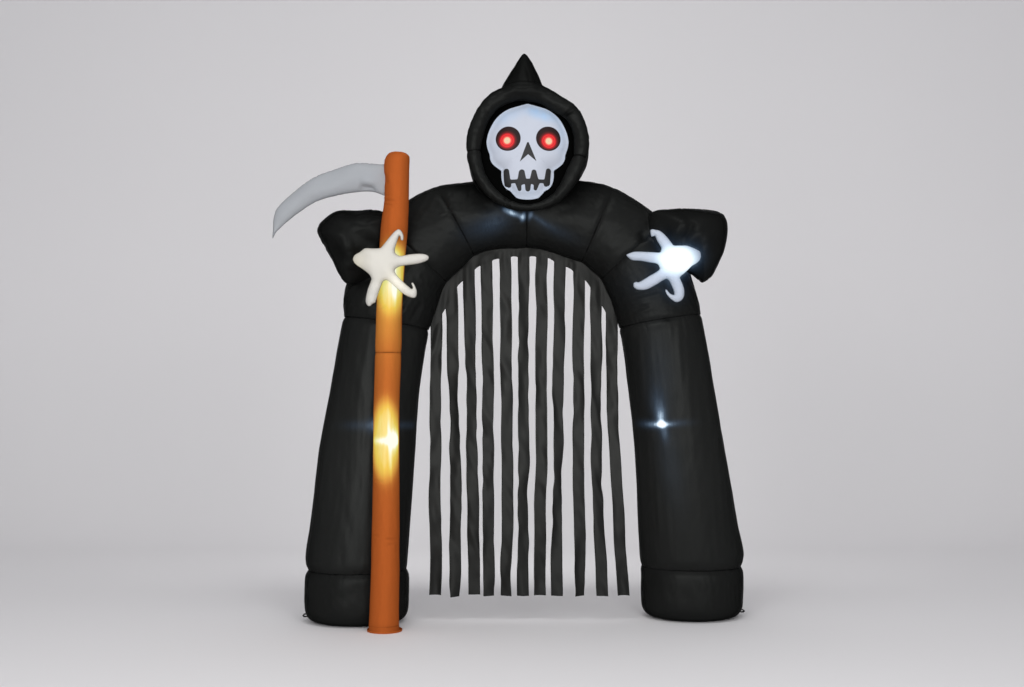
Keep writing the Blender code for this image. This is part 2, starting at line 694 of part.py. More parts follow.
def make_curtain():
    """One sheet: columns of the heading between the strips' edges, with a strip under every other one."""
    inner = np.array([row_at(ARCH, place)[:2] for place in np.linspace(0, len(ARCH) - 1, 141)])

    def opening_height(x):
        return float(np.interp(x, inner[:, 0], inner[:, 1])) - CURTAIN_CLEARANCE

    points, faces = [], []

    def add(x, y, z):
        points.append((x, y, z))
        return len(points) - 1

    previous = None
    for number, (top_x, mid_x, hem_x, mid_turn, hem_turn, sway, hem_z) in enumerate(STRIPS):
        edges = []
        for side in (-1, 1):
            x = top_x + side * STRIP_WIDTH / 2
            slit = SLIT_TOPS[number] if side < 0 else SLIT_TOPS[number + 1]
            column = [add(x, 0.0, opening_height(x))]
            for share in np.linspace(0, 1, STRIP_ROWS):
                # The middle line and the turn go through their values at the top, half-way and the hem.
                blend = (1 - share) * (1 - 2 * share), 4 * share * (1 - share), share * (2 * share - 1)
                centre = np.dot(blend, (top_x, mid_x, hem_x))
                turn = math.radians(np.dot(blend, (0, mid_turn, hem_turn)))
                drift = sway * math.sin(SWAY_HALF_WAVES * math.pi * share) * share**0.5
                reach = side * STRIP_WIDTH / 2
                z = slit + (hem_z - slit) * share
                column.append(add(centre + reach * math.cos(turn), drift + reach * math.sin(turn), z))
            edges.append(column)
        if previous is not None:
            faces.append((previous[0], previous[1], edges[0][1], edges[0][0]))
        for k in range(STRIP_ROWS):
            faces.append((edges[0][k], edges[0][k + 1], edges[1][k + 1], edges[1][k]))
        previous = edges[1]
    curtain = mesh_object("strip_curtain", points, faces, "curtain_cloth", smooth=False)
    solid = curtain.modifiers.new("cloth", "SOLIDIFY")
    solid.thickness = CURTAIN_THICK
    solid.offset = 0.0


def make_loop(side, root_x, mid_y, outward):
    """A folded webbing loop: two drop shapes, one in the other, seen from the front and drawn out in Y."""
    turn = np.arange(LOOP_SIDES) * 2 * math.pi / LOOP_SIDES
    rings = []
    for y in (mid_y - LOOP_WIDTH / 2, mid_y + LOOP_WIDTH / 2):
        for inset in (0.0, LOOP_BAND):
            half_length, half_height = LOOP_LENGTH / 2 - inset, LOOP_HEIGHT / 2 - inset
            ring = np.empty((LOOP_SIDES, 3))
            ring[:, 0] = root_x + outward * (LOOP_LENGTH / 2 + half_length * np.cos(turn))
            ring[:, 1] = y
            ring[:, 2] = LOOP_Z + half_height * np.sin(turn) * (0.75 + 0.25 * np.cos(turn))
            rings.append(ring)
    front_out, front_in, back_out, back_in = range(4)
    around = (front_out, front_in, back_in, back_out, front_out)
    faces = []
    for first, second in zip(around, around[1:]):
        here, over = first * LOOP_SIDES, second * LOOP_SIDES
        for k in range(LOOP_SIDES):
            there = (k + 1) % LOOP_SIDES
            faces.append((here + k, here + there, over + there, over + k))
    mesh_object(f"tether_loop_{side}", np.vstack(rings), faces, "webbing")


clear_scene()
PIECES = bpy.data.collections.new("inflatable_arch")
CUTTERS = bpy.data.collections.new("cutters")
bpy.context.scene.collection.children.link(PIECES)
bpy.context.scene.collection.children.link(CUTTERS)
PLACE = bpy.data.objects.new("arch_place", None)
PLACE.location = ARCH_PLACE
PIECES.objects.link(PLACE)
MATERIALS = {name: make_material(name) for name in COLOURS}

make_legs()
make_arch()
body_cutter, pole_cutter = make_body_cutters()
make_hood(body_cutter)
make_skull()
left_sleeve_cutter, right_sleeve_cutter = make_sleeves(body_cutter, pole_cutter)
make_hand("left", LEFT_PALM, LEFT_FINGERS, LEFT_HAND_Y, left_sleeve_cutter, pole_cutter)
make_hand("right", RIGHT_PALM, RIGHT_FINGERS, RIGHT_HAND_Y, right_sleeve_cutter)
make_scythe(pole_cutter)
make_curtain()
make_loop("left", -1.0645, 0.0, -1)
make_loop("right", 1.0597, 0.130, 1)
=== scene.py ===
"""An inflatable walk-through arch: the looks of its cloth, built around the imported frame.

Laid out as an add-on for Blender 4.5 and run as a script. Metres, +Z up, the front towards -Y. Tables give
places from the floor under the middle of the doorway, and ARCH_PLACE puts them into the frame.
"""

import math

import bpy
import numpy as np
from bpy.props import FloatProperty, FloatVectorProperty, PointerProperty
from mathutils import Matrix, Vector
from mathutils.geometry import delaunay_2d_cdt


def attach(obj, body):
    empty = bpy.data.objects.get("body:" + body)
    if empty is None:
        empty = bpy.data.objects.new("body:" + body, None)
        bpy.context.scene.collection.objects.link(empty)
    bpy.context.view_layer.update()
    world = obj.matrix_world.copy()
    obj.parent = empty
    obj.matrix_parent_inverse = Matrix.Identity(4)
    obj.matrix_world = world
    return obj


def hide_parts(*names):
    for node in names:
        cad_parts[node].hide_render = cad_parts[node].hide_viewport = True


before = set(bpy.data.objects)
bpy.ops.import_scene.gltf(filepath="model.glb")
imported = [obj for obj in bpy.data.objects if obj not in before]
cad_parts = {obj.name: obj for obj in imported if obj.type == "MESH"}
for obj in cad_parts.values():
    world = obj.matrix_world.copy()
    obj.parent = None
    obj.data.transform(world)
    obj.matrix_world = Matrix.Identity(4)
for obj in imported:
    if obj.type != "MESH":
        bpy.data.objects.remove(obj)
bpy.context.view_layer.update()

bl_info = {
    "name": "Inflatable Arch",
    "version": (1, 0, 0),
    "blender": (4, 5, 0),
    "location": "View3D > Sidebar > Arch",
    "description": "Walk-through arch of filled nylon bags with a hooded skull, scythe and strip curtain",
    "category": "Add Mesh",
}

BODY = "root"
ARCH_PLACE = np.array((0.0547, 0.041, 0.0))

# ---- tables of the cut ----

# A bag along a path is a table of sections: an ellipse from its inner to its outer point, seen from the
# front, and half_deep to the front and to the back of mid_y.
# inner_x, inner_z, outer_x, outer_z, mid_y, half_deep
LEFT_YOKE = (-0.481, 1.420, -0.901, 1.484, 0.0, 0.200)
RIGHT_YOKE = (0.457, 1.429, 0.860, 1.496, 0.0, 0.200)
LEFT_CINCH = (-0.586, 0.250, -1.066, 0.250, 0.0, 0.216)
RIGHT_CINCH = (0.574, 0.250, 1.070, 0.250, 0.130, 0.216)
ARCH = (
    LEFT_YOKE,
    (-0.450, 1.520, -0.885, 1.653, 0.0, 0.200),
    (-0.420, 1.605, -0.810, 1.812, 0.0, 0.198),
    (-0.393, 1.654, -0.712, 1.940, 0.0, 0.195),
    (-0.330, 1.720, -0.585, 2.056, 0.0, 0.192),
    (-0.258, 1.785, -0.447, 2.130, 0.0, 0.188),
    (-0.135, 1.821, -0.225, 2.160, 0.0, 0.186),
    (0.000, 1.825, 0.000, 2.168, 0.0, 0.185),
    (0.140, 1.803, 0.222, 2.160, 0.0, 0.186),
    (0.272, 1.753, 0.432, 2.124, 0.0, 0.188),
    (0.325, 1.713, 0.570, 2.043, 0.0, 0.192),
    (0.368, 1.668, 0.680, 1.945, 0.0, 0.195),
    (0.408, 1.592, 0.775, 1.810, 0.0, 0.198),
    (0.434, 1.520, 0.822, 1.660, 0.0, 0.200),
    RIGHT_YOKE,
)
# name, first row and last row in ARCH
ARCH_PANELS = (
    ("haunch_left", 0, 3),
    ("shoulder_left", 3, 5),
    ("crown_left", 5, 7),
    ("crown_right", 7, 9),
    ("shoulder_right", 9, 11),
    ("haunch_right", 11, 14),
)
LEFT_LEG = (
    LEFT_YOKE,
    (-0.505, 1.296, -0.932, 1.311, 0.0, 0.203),
    (-0.534, 1.084, -0.970, 1.084, 0.0, 0.207),
    (-0.548, 0.819, -1.019, 0.819, 0.0, 0.213),
    (-0.566, 0.502, -1.056, 0.502, 0.0, 0.222),
    (-0.578, 0.347, -1.079, 0.347, 0.0, 0.226),
    (-0.582, 0.290, -1.079, 0.290, 0.0, 0.226),
    LEFT_CINCH,
)
RIGHT_LEG = (
    RIGHT_YOKE,
    (0.483, 1.302, 0.891, 1.332, 0.014, 0.203),
    (0.506, 1.124, 0.927, 1.124, 0.036, 0.207),
    (0.529, 0.926, 0.964, 0.926, 0.058, 0.212),
    (0.545, 0.677, 1.013, 0.677, 0.085, 0.218),
    (0.553, 0.493, 1.044, 0.493, 0.105, 0.222),
    (0.562, 0.342, 1.076, 0.342, 0.121, 0.226),
    (0.567, 0.290, 1.078, 0.290, 0.126, 0.226),
    RIGHT_CINCH,
)
LEFT_FOOT = (
    LEFT_CINCH,
    (-0.575, 0.215, -1.080, 0.215, 0.0, 0.226),
    (-0.573, 0.150, -1.082, 0.150, 0.0, 0.228),
    (-0.574, 0.090, -1.082, 0.090, 0.0, 0.228),
    (-0.580, 0.045, -1.076, 0.045, 0.0, 0.222),
    (-0.600, 0.014, -1.056, 0.014, 0.0, 0.202),
    (-0.640, 0.000, -1.015, 0.000, 0.0, 0.168),
)
RIGHT_FOOT = (
    RIGHT_CINCH,
    (0.570, 0.215, 1.081, 0.215, 0.130, 0.226),
    (0.569, 0.150, 1.081, 0.150, 0.130, 0.228),
    (0.571, 0.090, 1.079, 0.090, 0.130, 0.228),
    (0.578, 0.045, 1.073, 0.045, 0.130, 0.222),
    (0.600, 0.014, 1.050, 0.014, 0.130, 0.202),
    (0.640, 0.000, 1.010, 0.000, 0.130, 0.168),
)
POLE_Y = -0.272
POLE_JOIN = (-0.593, 1.295, -0.715, 1.295, POLE_Y, 0.061)
POLE_TOP = (-0.557, 2.210, -0.676, 2.210, POLE_Y, 0.060)
POLE_LOWER = (
    (-0.583, 0.000, -0.745, 0.000, POLE_Y, 0.080),
    (-0.583, 0.010, -0.745, 0.010, POLE_Y, 0.080),
    (-0.597, 0.024, -0.738, 0.024, POLE_Y, 0.070),
    (-0.597, 0.277, -0.729, 0.277, POLE_Y, 0.066),
    (-0.597, 0.660, -0.724, 0.660, POLE_Y, 0.064),
    (-0.600, 1.036, -0.722, 1.036, POLE_Y, 0.061),
    POLE_JOIN,
)
POLE_UPPER = (
    POLE_JOIN,
    (-0.588, 1.526, -0.708, 1.526, POLE_Y, 0.060),
    (-0.570, 1.785, -0.698, 1.785, POLE_Y, 0.062),
    (-0.562, 1.901, -0.691, 1.901, POLE_Y, 0.062),
    (-0.559, 2.030, -0.676, 2.030, POLE_Y, 0.059),
    (-0.558, 2.163, -0.678, 2.163, POLE_Y, 0.060),
    POLE_TOP,
)
POLE_CAP = (
    POLE_TOP,
    (-0.559, 2.228, -0.665, 2.230, POLE_Y, 0.054),
    (-0.574, 2.241, -0.650, 2.243, POLE_Y, 0.038),
    (-0.596, 2.247, -0.630, 2.248, POLE_Y, 0.015),
    (-0.608, 2.249, -0.618, 2.249, POLE_Y, 0.004),
)
BLADE = (
    (-0.640, 2.032, -0.640, 2.187, POLE_Y, 0.008),
    (-0.682, 2.042, -0.684, 2.189, POLE_Y, 0.026),
    (-0.735, 2.058, -0.750, 2.192, POLE_Y, 0.040),
    (-0.806, 2.058, -0.840, 2.189, POLE_Y, 0.038),
    (-0.896, 2.044, -0.944, 2.154, POLE_Y, 0.035),
    (-0.990, 2.015, -1.060, 2.092, POLE_Y, 0.030),
    (-1.075, 1.965, -1.150, 2.012, POLE_Y, 0.024),
    (-1.115, 1.933, -1.188, 1.965, POLE_Y, 0.020),
    (-1.150, 1.901, -1.200, 1.925, POLE_Y, 0.015),
    (-1.180, 1.872, -1.202, 1.885, POLE_Y, 0.009),
    (-1.197, 1.848, -1.204, 1.853, POLE_Y, 0.004),
    (-1.202, 1.836, -1.204, 1.838, POLE_Y, 0.002),
)
PEAK = (
    (0.095, 2.530, -0.137, 2.530, -0.185, 0.100),
    (0.080, 2.576, -0.120, 2.576, -0.188, 0.114),
    (0.047, 2.649, -0.076, 2.649, -0.193, 0.072),
    (0.022, 2.700, -0.046, 2.700, -0.197, 0.038),
    (0.005, 2.730, -0.029, 2.730, -0.199, 0.017),
    (-0.007, 2.742, -0.018, 2.742, -0.200, 0.005),
)

# The hood's ring goes round the face, clockwise from its left seam. The angle is from +X.
HEAD_X, HEAD_Z = 0.003, 2.284
RING_Y = -0.245
RING_DEPTH, RING_DEPTH_PER_BAND = 0.022, 0.3
RIGHT_RING_SEAM = 9
RING_MIDDLE_RADIUS = 0.27
# angle_deg, outer_radius, band
RING = (
    (186, 0.294, 0.071), (157, 0.294, 0.074), (131, 0.306, 0.080), (112, 0.306, 0.084),
    (90, 0.300, 0.084), (77, 0.300, 0.084), (56, 0.286, 0.080), (35, 0.301, 0.078), (18, 0.298, 0.073),
    (-12, 0.290, 0.070), (-36, 0.289, 0.066), (-67, 0.312, 0.050), (-92, 0.317, 0.040),
    (-109, 0.315, 0.046), (-146, 0.302, 0.064),
)
# Where the ring is drawn in by a gather: angle_deg, depth, half_width
RING_GATHERS = (
    (38, 0.0075, 0.009), (-13, 0.0035, 0.006), (-107, 0.0040, 0.007), (-62, 0.0030, 0.009),
    (79, 0.0015, 0.012), (139, 0.0020, 0.015),
)
# The rings of the hood's back and of its peak from which their gathers run, and the y of the first
BACK_GATHERS_ROW, BACK_GATHERS_Y, PEAK_GATHERS_ROW = 8, -0.19, 12
# y, share of the ring's outer radius
HOOD_BACK = (
    (-0.216, 0.905), (-0.197, 0.920), (-0.175, 0.965), (-0.120, 0.995), (-0.040, 0.985), (0.040, 0.920),
    (0.110, 0.780), (0.168, 0.540), (0.198, 0.200), (0.202, 0.030),
)

# Pillows have an outline in the front view and are blown up to the front and to the back of mid_y.
# Half of the skull's outline, from the crown down to the chin: x, z
SKULL_HALF = (
    (0.000, 2.4892), (0.018, 2.4875), (0.050, 2.4790), (0.090, 2.4660), (0.124, 2.4450), (0.152, 2.4180),
    (0.172, 2.3860), (0.187, 2.3520), (0.194, 2.3240), (0.196, 2.3020), (0.191, 2.2740), (0.181, 2.2450),
    (0.178, 2.2220), (0.166, 2.2000), (0.146, 2.1830), (0.1265, 2.1680), (0.1255, 2.1480),
    (0.1225, 2.1200), (0.1145, 2.0980), (0.1010, 2.0810), (0.0830, 2.0705), (0.0680, 2.0540),
    (0.0520, 2.0385), (0.0340, 2.0330), (0.0160, 2.0305), (0.000, 2.0300),
)
SKULL_MIDDLE = (HEAD_X, 2.262)
SKULL_MID_Y, SKULL_FRONT, SKULL_BACK = -0.224, 0.068, 0.026

# x, z, going round each sleeve: the edge at the shoulder, the elbow, and the hem
LEFT_SLEEVE = (
    (-0.600, 1.970), (-0.702, 1.988), (-0.814, 1.989), (-0.925, 1.984), (-0.988, 1.940), (-1.011, 1.892),
    (-0.998, 1.850), (-0.938, 1.744), (-0.878, 1.642), (-0.800, 1.640), (-0.690, 1.700), (-0.600, 1.840),
)
RIGHT_SLEEVE = (
    (0.600, 1.978), (0.715, 1.993), (0.826, 1.998), (0.914, 1.988), (0.957, 1.961), (0.971, 1.897),
    (0.948, 1.783), (0.900, 1.680), (0.860, 1.646), (0.848, 1.641), (0.836, 1.652), (0.790, 1.691),
    (0.690, 1.745), (0.600, 1.850),
)
SLEEVE_MID_Y, SLEEVE_FRONT, SLEEVE_BACK = -0.130, 0.175, 0.150
LEFT_SLEEVE_MIDDLE = (-0.850, 1.840)
RIGHT_SLEEVE_MIDDLE = (0.820, 1.850)
LEFT_WRIST = (-0.795, -0.290, 1.765)
RIGHT_WRIST = (0.795, -0.290, 1.775)

# The hands' outlines, drawn on a grid of HAND_UNIT from the middle of the palm, clockwise from the wrist
# for the left hand and the other way round for the right one: over, up
HAND_UNIT = 0.00465
LEFT_HAND_MIDDLE, LEFT_HAND_Y = (-0.6695, 1.7110), -0.378
RIGHT_HAND_MIDDLE, RIGHT_HAND_Y = (0.6745, 1.7150), -0.345
LEFT_HAND = (
    (-30, 3.5), (-28.2, 7.2), (-23, 10.4), (-19.4, 13.3), (-17, 14.1), (-10, 14), (-3.5, 14.2), (-1, 16),
    (5, 23.5), (9.5, 29), (13, 32.2), (15.6, 33.1), (18.3, 31.2), (20.2, 27), (20.1, 22.5), (18.8, 22),
    (17.5, 22.4), (17.1, 25), (16.2, 26.3), (15.2, 24.5), (13.5, 19.5), (11.9, 13.5), (12.2, 9.5), (15, 7),
    (18.5, 6.5), (27, 8), (36, 8.7), (42, 8.1), (45.3, 6), (45.2, 3.2), (42, 0.8), (35, -1.4), (25, -2.8),
    (18, -3.9), (13.5, -5.8), (11.7, -8.5), (13.5, -12.4), (19, -18.4), (25, -23.8), (28.5, -26.5),
    (29.8, -25.5), (29, -22.8), (28.6, -21), (30, -20.7), (32.2, -24.3), (33.8, -29), (33.3, -33.8),
    (30.5, -35.7), (25, -34.3), (19, -30.6), (12, -24.3), (6, -19.1), (2.8, -18), (0, -19.6), (-2.2, -25),
    (-4.8, -32), (-7, -38.5), (-7.6, -40.3), (-10, -41.6), (-13.2, -44), (-16.2, -42), (-17.1, -37),
    (-15.2, -27.5), (-12.2, -19), (-11.7, -16), (-14, -12), (-20, -7), (-26, -3), (-29, 0.2),
)
RIGHT_HAND = (
    (29.2, 6.8), (28.2, 10.7), (24, 13.3), (18, 15.8), (14, 16.8), (7, 16.8), (2, 17), (-0.2, 19.6),
    (-4.5, 25.1), (-9, 29.7), (-12.5, 32), (-16, 32.7), (-19.5, 33.4), (-21.6, 32), (-21.2, 28.5),
    (-20.2, 26.1), (-18.2, 26.2), (-16.6, 26.2), (-15, 22.5), (-12.2, 17.5), (-10.7, 14.5), (-11, 11.5),
    (-12.5, 9.8), (-18, 10.1), (-27, 10.6), (-36, 10.8), (-40.5, 10), (-44.7, 8.1), (-45.4, 6.8),
    (-42.5, 3.6), (-39, 1.9), (-31, 1.2), (-22, -0.3), (-16, -1.2), (-13.4, -3), (-12.3, -6.8), (-16, -10),
    (-23, -14), (-30, -18.3), (-33.5, -19.9), (-36.5, -19.7), (-38.8, -21.5), (-38.2, -25.3), (-35, -27.5),
    (-30, -28), (-24, -26.8), (-16, -22.7), (-9, -18.3), (-5.5, -17), (-3, -18.7), (-0.2, -24), (1.8, -30),
    (1.7, -32.7), (-1.2, -32), (-3.7, -29.8), (-5.2, -27.8), (-6.7, -28), (-5.5, -31.8), (-2, -36.2),
    (2, -39.4), (5.5, -40), (9.5, -38.2), (11.9, -34), (12.1, -28), (10.5, -22), (8.3, -17), (8.2, -14.6),
    (12, -11.3), (16.5, -7.2), (20, -3.7), (25, -0.6), (28, 2.4),
)
# The end of the palm leans back to the sleeve: from this far out, by this much at WRIST_OUT
WRIST_BENDS, WRIST_OUT, WRIST_BACK = 0.712, 0.812, 0.085
# How full a hand is, the share that its seam takes off that, and how far from the seam
HAND_FULLNESS, HAND_PINCH, HAND_PINCH_WIDE = 0.80, 0.35, 0.006

# The curtain is one comb: a heading under the arch, slit into strips that turn as they hang.
STRIP_WIDTH = 0.058
# Height of each slit's top: at its left side, at its right side
SLITS = (
    (1.390, 1.390), (1.500, 1.526), (1.633, 1.662), (1.718, 1.736), (1.761, 1.773), (1.781, 1.781),
    (1.781, 1.781), (1.776, 1.759), (1.732, 1.709), (1.665, 1.629), (1.540, 1.506), (1.396, 1.396),
)
# top_x, mid_x, hem_x, mid_turn_deg, hem_turn_deg, sway, hem_z
STRIPS = (
    (-0.445, -0.447, -0.446, 12, -6, 0.016, 0.121),
    (-0.371, -0.351, -0.349, -26, 32, -0.012, 0.117),
    (-0.285, -0.268, -0.256, 32, -8, 0.018, 0.123),
    (-0.198, -0.190, -0.185, -8, 22, 0.010, 0.118),
    (-0.106, -0.096, -0.098, 10, -24, -0.016, 0.122),
    (-0.014, -0.015, -0.017, 28, -6, 0.014, 0.118),
    (0.077, 0.072, 0.064, -6, 8, 0.020, 0.119),
    (0.166, 0.155, 0.149, 34, -10, -0.014, 0.122),
    (0.260, 0.256, 0.263, -22, 24, 0.012, 0.117),
    (0.344, 0.345, 0.368, 20, -8, -0.018, 0.121),
    (0.421, 0.434, 0.474, -14, 6, 0.016, 0.118),
)
LOOP_LENGTH, LOOP_HEIGHT, LOOP_BAND, LOOP_WIDTH = 0.036, 0.020, 0.0045, 0.022
LOOP_Z = 0.026

# ---- creases and lamps, placed one by one ----

# Soft troughs seen from the front: start_x, start_z, end_x, end_z, half_width, depth
FRONT_CREASES = (
    # the seam between the left haunch and the leg, and the folds that run up from it
    (-0.560, 1.450, -0.500, 1.560, 0.010, 0.004),
    (-0.640, 1.460, -0.545, 1.620, 0.014, 0.005),
    (-0.800, 1.500, -0.700, 1.640, 0.016, 0.005),
    # the right haunch
    (0.480, 1.560, 0.640, 1.600, 0.010, 0.005),
    (0.500, 1.500, 0.600, 1.530, 0.009, 0.004),
    (0.560, 1.640, 0.640, 1.700, 0.010, 0.003),
    # the hollow between the right shoulder and its sleeve
    (0.552, 1.895, 0.572, 1.830, 0.024, 0.012),
    # the chest
    (-0.300, 2.050, -0.120, 1.960, 0.026, 0.004),
    (0.100, 1.960, 0.290, 2.020, 0.026, 0.003),
)

# Painted shade and shadow on the black cloth: spots where its colour is darkened for the shade in folds
# and pinches and for the pole's shadow beside it: x, z, half_x, half_z, tilt_deg, sharpness, strength
PAINTED_SHADE_SPOTS = (
    (-0.705, 1.812, 0.050, 0.028, -30, 1.0, 0.60),
    (-0.880, 1.765, 0.050, 0.020, -62, 1.0, 0.35),
    (-0.785, 1.650, 0.060, 0.035, 10, 1.0, 0.35),
    (0.758, 1.862, 0.050, 0.011, 54, 1.0, 0.55),
    (0.668, 1.452, 0.022, 0.012, 0, 1.0, 0.55),
    (-0.105, 2.022, 0.008, 0.016, 0, 1.0, 0.60),
    (0.195, 2.430, 0.048, 0.008, 18, 1.0, 0.55),
)

# Added to the distance from the legs' end seams, whose shade is fainter than the others'
LEG_SEAM_SOFTER = 0.0016

# Lamps behind the cloth: x, z, half_x, half_z, tilt_deg, sharpness, strength
BODY_LAMPS = (
    # right leg: its core, its rays, and the faint bands above and below
    (0.648, 0.958, 0.016, 0.016, 0, 1.4, 1.15),
    (0.650, 0.957, 0.040, 0.010, 0, 1.0, 0.55),
    (0.605, 0.956, 0.045, 0.019, -4, 1.0, 0.17),
    (0.700, 0.962, 0.070, 0.016, 3, 1.0, 0.13),
    (0.644, 0.993, 0.019, 0.045, 5, 1.0, 0.42),
    (0.633, 1.055, 0.032, 0.075, 7, 1.0, 0.12),
    (0.640, 1.200, 0.060, 0.170, 6, 1.0, 0.030),
    (0.662, 0.918, 0.017, 0.045, 8, 1.0, 0.17),
    (0.690, 0.780, 0.050, 0.190, 9, 1.0, 0.030),
    # left leg, behind the pole
    (-0.700, 0.952, 0.042, 0.034, 0, 1.0, 0.36),
    (-0.765, 0.953, 0.090, 0.022, 0, 1.0, 0.090),
    (-0.590, 0.953, 0.060, 0.018, 0, 1.0, 0.060),
    # the chest, under the chin, on both sides of the middle seam
    (-0.084, 1.977, 0.032, 0.013, -24, 1.4, 0.36),
    (-0.050, 1.963, 0.032, 0.012, -18, 1.2, 0.30),
    (-0.018, 1.953, 0.013, 0.020, -20, 1.4, 0.42),
    (-0.150, 1.935, 0.070, 0.040, 20, 1.0, 0.080),
    (-0.210, 1.905, 0.110, 0.045, 14, 1.0, 0.055),
    (0.016, 1.958, 0.010, 0.020, -20, 1.2, 0.22),
    (0.060, 1.940, 0.070, 0.012, -32, 1.0, 0.11),
    (0.140, 1.895, 0.100, 0.028, -24, 1.0, 0.040),
    # round the right hand: painted light of the hand's lamp on the cloth beside it
    (0.740, 1.755, 0.090, 0.085, 0, 1.0, 0.030),
    (0.610, 1.640, 0.120, 0.090, 0, 1.0, 0.028),
)
POLE_LAMPS = (
    (-0.660, 0.885, 0.070, 0.196, 0, 3.0, 0.70),
    (-0.650, 0.930, 0.075, 0.260, 0, 1.0, 0.10),
    (-0.640, 0.884, 0.008, 0.210, 3, 2.0, 0.13),
    (-0.655, 0.884, 0.100, 0.017, 0, 1.0, 0.22),
    (-0.618, 0.888, 0.026, 0.046, 0, 1.0, 0.40),
    (-0.640, 1.640, 0.078, 0.175, 0, 3.0, 0.50),
    (-0.612, 1.760, 0.050, 0.060, 0, 1.0, 0.40),
    (-0.650, 1.460, 0.080, 0.170, 0, 1.0, 0.32),
    (-0.655, 1.250, 0.080, 0.160, 0, 1.0, 0.06),
    (-0.622, 1.620, 0.010, 0.130, 2, 2.0, 0.17),
    (-0.630, 1.690, 0.045, 0.060, 0, 1.0, 0.25),
    (-0.626, 1.605, 0.055, 0.060, 0, 1.0, 0.28),
)
RIGHT_HAND_LAMPS = (
    (0.700, 1.722, 0.100, 0.070, 0, 1.6, 0.90),
    (0.690, 1.715, 0.180, 0.150, 0, 1.0, 0.24),
)
LEFT_HAND_LAMPS = (
    (-0.680, 1.715, 0.190, 0.160, 0, 1.0, 0.12),
    # painted light of the pole's lamp behind the hand
    (-0.610, 1.600, 0.050, 0.060, 0, 1.0, 0.45),
    (-0.800, 1.710, 0.050, 0.060, 0, 1.0, 0.28),
)
# How strong the right hand's lamp shows on the black cloth at the hand's edge, how far it reaches from
# there, and how far aside and up from the hand it falls
HALO_STRENGTH, HALO_REACH, HALO_SHIFT = 0.25, 0.020, (0.010, 0.008)
HALO_MIDDLE, HALO_RADIUS = (0.755, 1.730), 0.130
# The share of the lamps' light that shows at a seam, and how far from it all of it shows
LIGHT_AT_SEAM, DIM_BESIDE_SEAM = 0.3, 0.008


# ---- how fine the grids are ----

# Columns round a bag, and the step from one of its rings to the next where it is not the settings' step
LEG_COLUMNS, PANEL_COLUMNS = 224, 200
RING_COLUMNS, RING_STEP = 64, 0.0045
PEAK_COLUMNS, PEAK_STEP = 96, 0.004
POLE_COLUMNS, POLE_STEP = 84, 0.005
BLADE_COLUMNS, BLADE_STEP = 72, 0.0055
HOOD_BACK_COLUMNS, HOOD_BACK_ROWS = 240, 90
# Of a pillow: columns, rows in front of its seam and rows behind it
SKULL_GRID = (420, 70, 22)
SLEEVE_GRID = (240, 64, 56)
# Of a hand: the step along its outline and between its points, and the cell of its height's grid
HAND_OUTLINE_STEP, HAND_STEP, HEIGHT_CELL = 0.0024, 0.0026, 0.0022
STRIP_COLUMNS, GAP_COLUMNS, HEADING_ROWS, STRIP_ROWS = 10, 5, 14, 250
LOOP_COLUMNS = 48


# ---- settings ----


def length_setting(name, description, default):
    return FloatProperty(name=name, description=description, default=default, unit="LENGTH")


class ArchCloth(bpy.types.PropertyGroup):
    """Sizes of the cloth and of how it is sewn."""

    step: length_setting("Step", "Grid of a large bag", 0.006)
    seam_pinch: length_setting("Seam pinch", "How far a seam is drawn in", 0.009)
    seam_roll: length_setting("Seam roll", "From a seam to the cloth's full size", 0.030)
    pucker_size: length_setting("Pucker size", "From one gather to the next", 0.045)
    pucker_depth: length_setting("Pucker depth", "Depth of a gather at its seam", 0.0035)
    pucker_reach: length_setting("Pucker reach", "How far a gather runs from its seam", 0.045)
    swell: length_setting("Swell", "Slow unevenness of a filled bag", 0.0022)
    crumple: length_setting("Crumple", "Depth of the small dents", 0.0005)
    stitch_inset: length_setting("Stitch inset", "From a seam to its stitches", 0.007)
    stitch_pitch: length_setting("Stitch pitch", "Length of a stitch and its gap", 0.005)
    weave_pitch: length_setting("Weave pitch", "From one yarn to the next", 0.0011)
    curtain_thick: length_setting("Curtain thickness", "Of the strips", 0.0012)


def colour_setting(name, description, default):
    return FloatVectorProperty(
        name=name, description=description, default=default, subtype="COLOR", size=3, min=0.0, max=1.0
    )


class ArchColours(bpy.types.PropertyGroup):
    """Colours of the cloths and of the light behind them."""

    black: colour_setting("Black", "Nylon of the arch, hood and sleeves", (0.0204, 0.0212, 0.0204))
    curtain: colour_setting("Curtain", "Nylon of the strips", (0.0330, 0.0335, 0.0320))
    bone: colour_setting("Bone", "Middle of the skull", (0.400, 0.425, 0.485))
    # the bone in painted blue shade, where the skull's shade spots put it
    bone_shade: colour_setting("Bone edge", "Edge of the skull", (0.330, 0.435, 0.590))
    print_black: colour_setting("Print", "Nose and mouth of the skull", (0.020, 0.020, 0.021))
    warm_hand: colour_setting("Left hand", "Nylon of the left hand", (0.540, 0.525, 0.490))
    # the right hand's white nylon tinted blue: painted light of its own cool lamp
    cool_hand: colour_setting("Right hand", "Nylon of the right hand", (0.400, 0.436, 0.505))
    pole: colour_setting("Pole", "Nylon of the scythe's pole", (0.365, 0.086, 0.018))
    blade: colour_setting("Blade", "Nylon of the scythe's blade", (0.312, 0.326, 0.345))
    webbing: colour_setting("Webbing", "Tape of the tether loops", (0.012, 0.012, 0.013))


